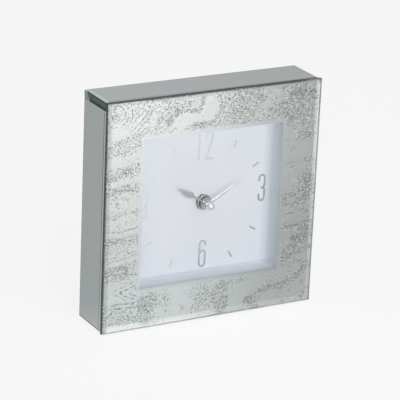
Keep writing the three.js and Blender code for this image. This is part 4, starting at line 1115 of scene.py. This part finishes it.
def ribbon(points, width):
    """Outline of a stroke of constant width along the points."""
    pts = [Vector(p) for p in points]
    left, right = [], []
    for i, p in enumerate(pts):
        a = pts[max(i - 1, 0)]
        b = pts[min(i + 1, len(pts) - 1)]
        d = (b - a).normalized()
        nrm = Vector((-d.y, d.x))
        left.append(tuple(p + nrm * width / 2))
        right.append(tuple(p - nrm * width / 2))
    return left + right[::-1]


INK_T, STROKE, H, W = 0.14, 1.28, 18.7, 5.4
Y_INK = DIAL_Y - INK_T
SW = STROKE / 2


def glyph(name, strokes, x0, z0):
    """A figure from strokes given in its own box (0..W, 0..H), set on the dial with its lower left corner at (x0, z0)."""
    solids = [solid_of([(x0 + x, z0 + z) for x, z in ribbon(s, STROKE)], Y_INK, DIAL_Y + 0.02) for s in strokes]
    bm = combine(solids[0], solids[1:]) if len(solids) > 1 else combine(solids[0], [])
    bmesh.ops.remove_doubles(bm, verts=bm.verts, dist=1e-4)
    return bm


R = W / 2 - SW
three = [
    [(SW, 13.9)] + arc(W / 2, H - SW - R * 1.25, R, R * 1.25, 180, 0, 14) + [(W - SW, 11.6)] + arc(W / 2 + 0.1, 11.6, R - 0.1, 2.15, 0, -75, 8) + [(2.1, 9.45)],
    [(2.6, 9.45)] + arc(W / 2 + 0.1, 7.2, R - 0.1, 2.2, 80, 0, 8) + arc(W / 2, SW + R * 1.25, R, R * 1.25, 0, -180, 14) + [(SW, 5.3)],
]
six = [
    [(W - SW, 14.6)] + arc(W / 2, H - SW - R * 1.25, R, R * 1.25, 0, 180, 14) + arc(W / 2, SW + R * 1.25, R, R * 1.25, 180, 360, 14) + arc(W / 2, 9.5, R, R * 0.95, 0, 80, 8) + [(W / 2 - 0.3, 11.15)],
    [(W / 2 + 0.3, 11.25), (W / 2 - 0.7, 11.0), (SW, 9.6)],
]
nine = [[(W - x, H - z) for x, z in s] for s in six]
one = [[(0.85, 0.0), (0.85, H)], [(0.85, H - SW - 0.1), (0.25, H - SW - 0.45), (-0.15, H - SW - 0.7)]]
two = [
    [(SW, 14.2)] + arc(W / 2, H - SW - R * 1.25, R, R * 1.25, 180, 0, 14) + [(W - SW, 13.2), (W - SW - 0.35, 11.8), (SW + 0.55, 2.2), (SW + 0.25, SW)],
    [(0.1, SW), (W, SW)],
]
for name, strokes, x0, z0 in (
    ("numeral_3", three, 40.6, -7.5),
    ("numeral_6", six, -0.9, -46.4),
    ("numeral_9", nine, -43.7, -8.4),
    ("numeral_12_one", one, -4.3, 25.8),
    ("numeral_12_two", two, 1.0, 25.8),
):
    o = finish_mesh(name, glyph(name, strokes, x0, z0), [M["ink"]], sharp=40)
    settle(o, "case")

DASH_C, DASH_R, DASH_L, DASH_W = (0.88, -3.32), 42.85, 5.0, 0.95
for k in (1, 2, 4, 5, 7, 8, 10, 11):
    a = radians(30 * k)
    d, w = Vector((math.sin(a), math.cos(a))), Vector((math.cos(a), -math.sin(a)))
    c = Vector(DASH_C) + d * DASH_R
    corners = []
    for su, sv in ((-1, -1), (1, -1), (1, 1), (-1, 1)):
        for t in range(4):  # rounded ends
            b = radians({(-1, -1): 180, (1, -1): 270, (1, 1): 0, (-1, 1): 90}[(su, sv)] + 30 * t)
            q = 0.22
            p = c + d * (su * (DASH_L / 2 - q) + q * math.cos(b)) + w * (sv * (DASH_W / 2 - q) + q * math.sin(b))
            corners.append(tuple(p))
    tmp = solid_of(corners, Y_INK, DIAL_Y + 0.02)
    o = finish_mesh(f"hour_dash_{k}", combine(tmp, []), [M["ink"]], sharp=40)
    settle(o, "case")


# ------------------------------------------------------------------ hands
def hand(name, stations, deg, y_front, y_edge, y_back, material, hub, hub_y, hole, bush=None, lower=None):
    """A hand with a ridge down its middle. stations are (distance from the shaft, half width, ridge share)."""
    turn = radians(90 - deg)
    du, dv = Vector((math.cos(turn), 0, math.sin(turn))), Vector((-math.sin(turn), 0, math.cos(turn)))
    bm = bmesh.new()
    rows = []
    for r, w, lift in stations:
        ridge = y_edge + (y_front - y_edge) * lift
        pts = [(-w, y_edge), (-w * 0.12, ridge), (w * 0.12, ridge), (w, y_edge), (w * 0.96, y_back), (-w * 0.96, y_back)]
        rows.append([bm.verts.new(Vector((AXIS_X, 0, AXIS_Z)) + du * r + dv * v + Vector((0, y, 0))) for v, y in pts])
    for a, b in zip(rows, rows[1:]):
        for i in range(6):
            j = (i + 1) % 6
            bm.faces.new((a[i], a[j], b[j], b[i]))
    bm.faces.new(rows[0][::-1])
    bm.faces.new(rows[-1])
    body = temp_object(bm)
    ring = bmesh.new()
    lathe(ring, fillet([(hole, hub_y[1]), (hole, hub_y[0]), (hub, hub_y[0]), (hub, hub_y[1])], 0.08, 3) + [(hole, hub_y[1])][:0], sides=64)
    parts = [temp_object(ring)]
    if bush:
        r, y0, y1 = bush
        b2 = bmesh.new()
        lathe(b2, [(hole, y0), (r, y0), (r, y1 - 0.15), (r - 0.15, y1), (hole, y1)], sides=64)
        parts.append(temp_object(b2))
    bm = combine(body, parts)
    bm.normal_update()
    # painted shade and highlight: the hub's cut sides get the dark ring metal and its front the lighter hub metal,
    # shaded and lit copies of one metal
    for f in bm.faces:  # the cut sides of the hub are dull
        c = f.calc_center_median()
        if abs(f.normal.y) < 0.6 and abs(math.hypot(c.x - AXIS_X, c.z - AXIS_Z) - hub) < 0.12:
            f.material_index = 1
        elif f.normal.y < -0.6 and math.hypot(c.x - AXIS_X, c.z - AXIS_Z) < hub - 0.04:
            f.material_index = 3
        out = Vector((c.x - AXIS_X, 0, c.z - AXIS_Z))
        # painted shade: the facet turned away from the light gets a darker copy of the hand's metal
        if lower and out.length > hub + 0.15 and out.dot(dv) < -0.03 and c.y < y_back - 0.02:
            f.material_index = 2  # the facet turned away from the light
    return finish_mesh(name, bm, [material, M["painted_shade_ring"], lower or material, M["hub"]], sharp=22, weld=1e-4)


hour_stations = [
    (3.0, 0.62, 1.0), (9.0, 0.56, 1.0), (10.5, 0.58, 1.0), (11.1, 0.85, 1.0), (11.6, 1.35, 1.0), (12.0, 1.82, 1.0),
    (12.4, 2.08, 1.0), (12.8, 2.14, 1.0), (13.3, 2.08, 1.0), (14.2, 1.84, 1.0), (16.0, 1.38, 1.0), (18.0, 0.94, 1.0),
    (20.0, 0.55, 1.0), (21.6, 0.27, 1.0), (22.4, 0.14, 1.0), (22.6, 0.06, 1.0),
]  # fmt: skip
minute_stations = [
    (2.7, 0.60, 1.0), (4.0, 0.64, 1.0), (8.0, 0.60, 1.0), (12.0, 0.55, 0.95), (17.0, 0.46, 0.85),
    (22.0, 0.35, 0.7), (27.0, 0.2, 0.55), (29.2, 0.12, 0.45), (29.6, 0.05, 0.4),
]  # fmt: skip
o = hand("hour_hand_blade", hour_stations, TIME["hour"], 11.5, 11.62, 11.9, M["hour_hand"], 3.6, (11.48, 11.9), 2.56, (3.1, 11.85, 12.15))
settle(o, "hour_hand_group", ["hour_hand"])
o = hand("minute_hand_blade", minute_stations, TIME["minute"], 9.38, 9.57, 9.65, M["hand"], 3.0, (9.3, 9.65), 1.31, lower=M["hand_painted_shade"])
settle(o, "minute_hand_group", ["minute_hand"])

# cap nut: a turned base, a short neck and a polished ball, on the end of the minute arbor
c, r, end = 5.6, 2.35, 9.25
profile = [(0, c - r)]
last = math.asin(1.52 / r)
for i in range(1, 25):
    a = math.pi - (math.pi - last) * i / 24
    profile.append((r * math.sin(a), c + r * math.cos(a)))
profile += [(1.5, 7.52), (1.58, 7.66), (1.8, 7.74), (2.1, 7.78), (2.2, 7.88), (2.2, 8.3), (2.1, 8.38), (2.1, 8.5), (2.2, 8.58), (2.2, end - 0.08), (2.12, end)]
profile += [(1.05, end), (1.0, end - 0.1), (1.0, 5.1), (0, 5.1)]
bm = lathe(bmesh.new(), profile, sides=64)
# painted shade: the turned base's sides, all but a thin band at its front, get a darker copy of the metal
for f in bm.faces:
    c = f.calc_center_median()
    far = math.hypot(c.x - AXIS_X, c.z - AXIS_Z)
    if c.y > 7.9 and far > 2.0 and abs(c.y - 9.2) > 0.06:
        f.material_index = 1
settle(finish_mesh("ball_nut", bm, [M["ball"], M["neck_ring_painted_shade"]], sharp=35), "minute_hand_group", ["ball_cap_nut"])

# hexagon nut with a turned chamfer and its washer face
ap, ybk, yf = 9.4 / 2, DIAL_Y - 0.05, 13.9
turn0 = math.pi / 2 - 0.26
bm = bmesh.new()
count_phi = 96
rings = []
for key in ("bore_back", "bore_front", "chamfer_in", "top", "mid", "side", "foot", "foot2"):
    ring = []
    for i in range(count_phi):
        phi = 2 * math.pi * i / count_phi
        local = (phi + math.pi / 6) % (math.pi / 3) - math.pi / 6
        rh = ap / math.cos(local)
        rh = min(rh, 5.05)
        yh = yf + 0.55 * (rh - 4.35) / 1.25
        rr, y = {
            "bore_back": (3.98, ybk),
            "bore_front": (3.98, yf + 0.18),
            "chamfer_in": (4.1, yf + 0.02),
            "top": (4.32, yf),
            "mid": ((4.35 + rh) / 2, (yf + yh) / 2 - 0.01),
            "side": (rh, yh + 0.03),
            "foot": (rh, ybk - 0.25),
            "foot2": (min(rh, 4.62) - 0.02, ybk - 0.0),
        }[key]
        a = phi + turn0
        ring.append(bm.verts.new((AXIS_X + rr * math.cos(a), y, AXIS_Z + rr * math.sin(a))))
    rings.append(ring)
# painted highlight on the front ring and chamfer (rings 1 to 3), painted shade on the sides, underside and bore
for k, (a, b) in enumerate(zip(rings, rings[1:] + rings[:1])):
    for i in range(count_phi):
        j = (i + 1) % count_phi
        bm.faces.new((a[i], a[j], b[j], b[i])).material_index = 1 if 1 <= k <= 3 else 0
settle(finish_mesh("fixing_nut", bm, [M["nickel"], M["nickel_painted_light"]], sharp=24), "case", ["hex_nut"])

# threaded end of the collar: rings of thread over the plain collar, and its turned front lip
profile = [(2.68, 15.9), (2.68, 12.5), (2.76, 12.38), (3.66, 12.36)]
y = 12.46
while y < 15.6:
    profile += [(3.95, y), (3.95, y + 0.1), (3.72, y + 0.3), (3.72, y + 0.4)]
    y += 0.5
profile += [(3.92, 15.9)]
# painted shade: the bore and the thread rings get the dark ring metal, only the front lip the plain collar metal
bm = lathe(bmesh.new(), profile, sides=64, mat=[1, 0, 0, 1])
settle(finish_mesh("threaded_collar", bm, [M["thread"], M["painted_shade_ring"]], sharp=30), "case")

# ends of the hour pipe and of the minute arbor
bm = lathe(bmesh.new(), [(1.78, 14.0), (1.78, 11.16), (1.86, 11.08), (2.44, 11.08), (2.52, 11.16), (2.52, 14.0)], sides=64)
settle(finish_mesh("hour_pipe_end", bm, [M["tube"]], sharp=35), "hour_hand_group")
bm = lathe(bmesh.new(), [(1.28, 13.0), (1.28, 9.8), (1.34, 9.71), (1.56, 9.71), (1.62, 9.8), (1.62, 13.0)], sides=48)
settle(finish_mesh("minute_arbor_sleeve", bm, [M["tube"]], sharp=35), "minute_hand_group")
dress("minute_arbor", M["brass"])
dress("hour_wheel", M["nylon"], 0.03)

# ------------------------------------------------------------------ back: movement, knob, battery, contacts, screws, pads
dress("movement_case_back", M["case"], 0.18)
dress("setting_knob", M["knob"], 0.08)
dress("battery", M["jacket"])


def middle(node):
    """Centre of a node's box, in the face's frame."""
    o = NODES[node]
    pts = [o.matrix_world @ Vector(c) for c in o.bound_box]
    return [1000 * (min(q[i] for q in pts) + max(q[i] for q in pts)) / 2 - off for i, off in enumerate((0, -17.0, 76.0))]


# the setting knob's raised rim and the dimple in its middle
kx, _, kz = middle("setting_knob")
rim_profile = fillet([(3.5, 33.62), (3.5, 33.9), (4.45, 33.9), (4.45, 33.62)], 0.1, 3)
bm = lathe(bmesh.new(), rim_profile, kx, kz, 72)
for i in range(24):  # finger grooves outside the rim
    a = 2 * math.pi * i / 24
    half = [(0.16 * math.cos(t), 0.16 * math.sin(t)) for t in (0, 1.05, 2.09, 3.14, 4.19, 5.24)]
    c0, s0 = math.cos(a), math.sin(a)
    peg = [(kx + 4.78 * c0 + u * c0 * 1.4 - v * s0, kz + 4.78 * s0 + u * s0 * 1.4 + v * c0) for u, v in half]
    top = [bm.verts.new((x, 33.88, z)) for x, z in peg]
    foot = [bm.verts.new((x, 33.66, z)) for x, z in peg]
    bm.faces.new(top)
    bm.faces.new(foot[::-1])
    for j in range(6):
        q = (j + 1) % 6
        bm.faces.new((top[j], foot[j], foot[q], top[q]))
settle(finish_mesh("knob_rim", bm, [M["knob_rim"]], sharp=35), "setting_knob")

# moulded signs on the back of the movement: which way the knob turns, and the battery's poles
marks = []
for start, end in ((30, 82), (98, 150)):
    marks.append(ribbon([(kx + 7.7 * math.cos(radians(t)), kz + 7.7 * math.sin(radians(t))) for t in np.linspace(start, end, 14)], 0.55))
for t, way in ((30, -1), (150, 1)):  # arrow heads
    c, d = Vector((math.cos(radians(t)), math.sin(radians(t)))), Vector((-math.sin(radians(t)), math.cos(radians(t)))) * way
    base = Vector((kx, kz)) + c * 7.7
    marks.append([tuple(base + c * 0.95), tuple(base + d * 1.7), tuple(base - c * 0.95)])
side = 1 if middle("contact_positive")[0] > middle("contact_negative")[0] else -1
bay = middle("battery")
for x0, upright_bar in ((bay[0] + side * 19.5, True), (bay[0] - side * 19.5, False)):
    z0 = bay[2] + 12.2
    marks.append([(x0 - 1.7, z0 - 0.32), (x0 + 1.7, z0 - 0.32), (x0 + 1.7, z0 + 0.32), (x0 - 1.7, z0 + 0.32)])
    if upright_bar:
        marks.append([(x0 - 0.32, z0 + 0.3), (x0 + 0.32, z0 + 0.3), (x0 + 0.32, z0 + 1.7), (x0 - 0.32, z0 + 1.7)])
        marks.append([(x0 - 0.32, z0 - 1.7), (x0 + 0.32, z0 - 1.7), (x0 + 0.32, z0 - 0.3), (x0 - 0.32, z0 - 0.3)])
bm = bmesh.new()
for outline in marks:
    top = [bm.verts.new((x, 33.97, z)) for x, z in outline]
    foot = [bm.verts.new((x, 33.84, z)) for x, z in outline]
    bm.faces.new(top)
    bm.faces.new(foot[::-1])
    for j in range(len(outline)):
        q = (j + 1) % len(outline)
        bm.faces.new((top[j], foot[j], foot[q], top[q]))
settle(finish_mesh("moulded_signs", bm, [M["case_sign"]], sharp=35), "case")
dress("contact_positive", M["spring"], 0.05)
dress("contact_negative", M["spring"], 0.05)
dress("coil", M["copper"])
dress("quartz_crystal", M["can"])
for k in range(1, 5):
    dress(f"back_screw_{k}", M["screw"], 0.05)
    dress(f"foot_pad_{k}", M["felt"], 0.3, 3)

# ------------------------------------------------------------------ stage: pale floor, soft lights, camera
PALE = 0.913


def stage_material(name, build):
    s = Shader(name)
    build(s)
    return s.material


def floor_nodes(s):
    tone = s.blend(s.span(s.noise(3.0, 2.0), 0.3, 0.7, 0.0, 1.0), (0.160, 0.160, 0.160), (0.164, 0.164, 0.164))
    dif = s.add("ShaderNodeBsdfDiffuse", {"Color": tone})
    em = s.add("ShaderNodeEmission")
    em.inputs["Color"].default_value = (1.0, 1.0, 1.0, 1.0)
    seen = s.add("ShaderNodeLightPath").outputs["Is Camera Ray"]
    s.put(em.inputs["Strength"], s.span(seen, 0.0, 1.0, FLOOR_FILL, FLOOR_GLOW))
    add = s.add("ShaderNodeAddShader", {0: dif.outputs[0], 1: em.outputs[0]})
    under = s.add("ShaderNodeNewGeometry").outputs["Backfacing"]
    clear = s.add("ShaderNodeBsdfTransparent")
    mix = s.add("ShaderNodeMixShader", {0: under, 1: add.outputs[0], 2: clear.outputs[0]})
    s.tree.links.new(mix.outputs[0], s.out.inputs["Surface"])


def plane(name, corners, material):
    mesh = bpy.data.meshes.new(name)
    mesh.from_pydata([Vector(c) for c in corners], [], [(0, 1, 2, 3)])
    mesh.materials.append(material)
    o = bpy.data.objects.new(name, mesh)
    SCENE.collection.objects.link(o)
    return o


FLOOR_GLOW, FLOOR_FILL = 0.84, 0.31
floor = plane("stage_floor", [(-20, -20, 0), (20, -20, 0), (20, 20, 0), (-20, 20, 0)], stage_material("stage_floor", floor_nodes))
floor.visible_glossy = False


def card_nodes(s):
    """What polished surfaces see of the floor: pale on the left of the clock, greyer to its right and behind it."""
    c = s.add("ShaderNodeTexCoord").outputs["Object"]
    xyz = s.add("ShaderNodeSeparateXYZ", {0: c})
    x, y = xyz.outputs[0], xyz.outputs[1]
    side = s.math("ADD", x, s.math("MULTIPLY", s.math("ADD", y, 0.017), 0.60))
    near = s.span(y, -0.30, -0.05, 0.80, 0.69, True)
    far = s.span(y, -0.46, -0.28, 0.30, 0.0, True)
    least = s.span(y, -0.14, -0.03, 0.405, 0.455, True)
    ahead = s.span(side, -0.035, 0.058, s.math("ADD", near, far), least, True)
    behind = 0.53
    value = s.add("ShaderNodeMix", data_type="FLOAT")
    s.put(value.inputs[0], s.span(y, -0.03, 0.05, 0.0, 1.0, True))
    s.put(value.inputs[2], ahead)
    s.put(value.inputs[3], behind)
    em = s.add("ShaderNodeEmission", {"Strength": value.outputs[0]})
    em.inputs["Color"].default_value = (0.985, 1.0, 0.995, 1.0)
    under = s.add("ShaderNodeNewGeometry").outputs["Backfacing"]
    clear = s.add("ShaderNodeBsdfTransparent")
    mix = s.add("ShaderNodeMixShader", {0: under, 1: em.outputs[0], 2: clear.outputs[0]})
    s.tree.links.new(mix.outputs[0], s.out.inputs["Surface"])


card = plane("stage_card_floor", [(-20, -20, 0.0002), (20, -20, 0.0002), (20, 20, 0.0002), (-20, 20, 0.0002)], stage_material("stage_card", card_nodes))
card.visible_camera = False
card.visible_diffuse = False
card.visible_shadow = False
card.visible_transmission = False
card.visible_volume_scatter = False

world = bpy.data.worlds.new("studio")
SCENE.world = world
world.use_nodes = True
wt = world.node_tree
wt.nodes.clear()


def wadd(kind, **settings):
    n = wt.nodes.new(kind)
    for k, v in settings.items():
        setattr(n, k, v)
    return n


wo = wadd("ShaderNodeOutputWorld")
tc = wadd("ShaderNodeTexCoord")
sep = wadd("ShaderNodeSeparateXYZ")
wt.links.new(tc.outputs["Generated"], sep.inputs[0])
up = wadd("ShaderNodeMapRange", interpolation_type="SMOOTHSTEP", clamp=True)
wt.links.new(sep.outputs[2], up.inputs["Value"])
for k, v in (("From Min", -0.05), ("From Max", 0.85), ("To Min", 0.52), ("To Max", 1.0)):
    up.inputs[k].default_value = v
bg = wadd("ShaderNodeBackground")
bg.inputs["Color"].default_value = (0.985, 0.995, 1.0, 1.0)
path = wadd("ShaderNodeLightPath")
quiet = wadd("ShaderNodeMath", operation="MULTIPLY_ADD")  # matt surfaces get less of it, so the recess stays modelled
quiet.inputs[1].default_value, quiet.inputs[2].default_value = -0.58, 1.0
wt.links.new(path.outputs["Is Diffuse Ray"], quiet.inputs[0])
drift = wadd("ShaderNodeMapRange", clamp=True)  # a little darker towards the right
wt.links.new(sep.outputs[0], drift.inputs["Value"])
for k, v in (("From Min", 0.35), ("From Max", 0.50), ("To Min", 0.965), ("To Max", 0.85)):
    drift.inputs[k].default_value = v
shade = wadd("ShaderNodeMath", operation="MULTIPLY")
wt.links.new(quiet.outputs[0], shade.inputs[0])
wt.links.new(drift.outputs["Result"], shade.inputs[1])
level = wadd("ShaderNodeMath", operation="MULTIPLY")
wt.links.new(up.outputs["Result"], level.inputs[0])
wt.links.new(shade.outputs[0], level.inputs[1])
wt.links.new(level.outputs[0], bg.inputs["Strength"])
world.cycles.sampling_method = "NONE"
flat = wadd("ShaderNodeBackground")
flat.inputs["Color"].default_value = (1.0, 1.0, 1.0, 1.0)
flat.inputs["Strength"].default_value = PALE
mixw = wadd("ShaderNodeMixShader")
wt.links.new(path.outputs["Is Camera Ray"], mixw.inputs[0])
wt.links.new(bg.outputs[0], mixw.inputs[1])
wt.links.new(flat.outputs[0], mixw.inputs[2])
wt.links.new(mixw.outputs[0], wo.inputs["Surface"])


def softbox(name, place, aim, size, power, colour=(1.0, 1.0, 1.0)):
    light = bpy.data.lights.new(name, "AREA")
    light.shape = "RECTANGLE"
    light.size, light.size_y = size
    light.energy = power
    light.color = colour
    o = bpy.data.objects.new(name, light)
    SCENE.collection.objects.link(o)
    o.location = place
    o.rotation_euler = (Vector(aim) - Vector(place)).to_track_quat("-Z", "Y").to_euler()
    o.visible_camera = False
    return o


key = softbox("soft_front", (0.03, -1.98, 0.26), (0, 0, 0.08), (1.7, 1.5), 38.0, (0.97, 0.985, 1.0))
key.visible_glossy = False
spark = softbox("soft_spark", (0.28, -1.97, 0.26), (0, 0, 0.08), (1.0, 0.9), 8.0)  # only shines on polished parts
spark.visible_diffuse = False
glint = softbox("soft_glint", (-1.35, -1.45, 1.25), (0, 0, 0.08), (0.7, 0.6), 15.0)
glint.visible_diffuse = False
softbox("soft_top", (-0.05, -0.25, 1.5), (0, 0, 0.08), (0.9, 0.9), 2.0)

cam_data = bpy.data.cameras.new("camera")
cam = bpy.data.objects.new("camera", cam_data)
SCENE.collection.objects.link(cam)
SCENE.camera = cam
cam_data.lens, cam_data.sensor_width, cam_data.sensor_fit = 205.68, 36.0, "HORIZONTAL"
cam_data.clip_start, cam_data.clip_end = 0.01, 100.0
a, e, rr = radians(-29.331), radians(19.648), radians(2.453)
back = Vector((math.sin(a) * math.cos(e), -math.cos(a) * math.cos(e), math.sin(e)))
fwd = -back
right = fwd.cross(Vector((0, 0, 1))).normalized()
upv = right.cross(fwd)
r2, u2 = right * math.cos(rr) + upv * math.sin(rr), -right * math.sin(rr) + upv * math.cos(rr)
pose = Matrix.Identity(4)
for k in range(3):
    pose[k][0], pose[k][1], pose[k][2] = r2[k], u2[k], back[k]
pose.translation = Vector((-0.6647, -1.1830, 0.5589))
cam.matrix_world = pose
SCENE.view_settings.view_transform = "Standard"
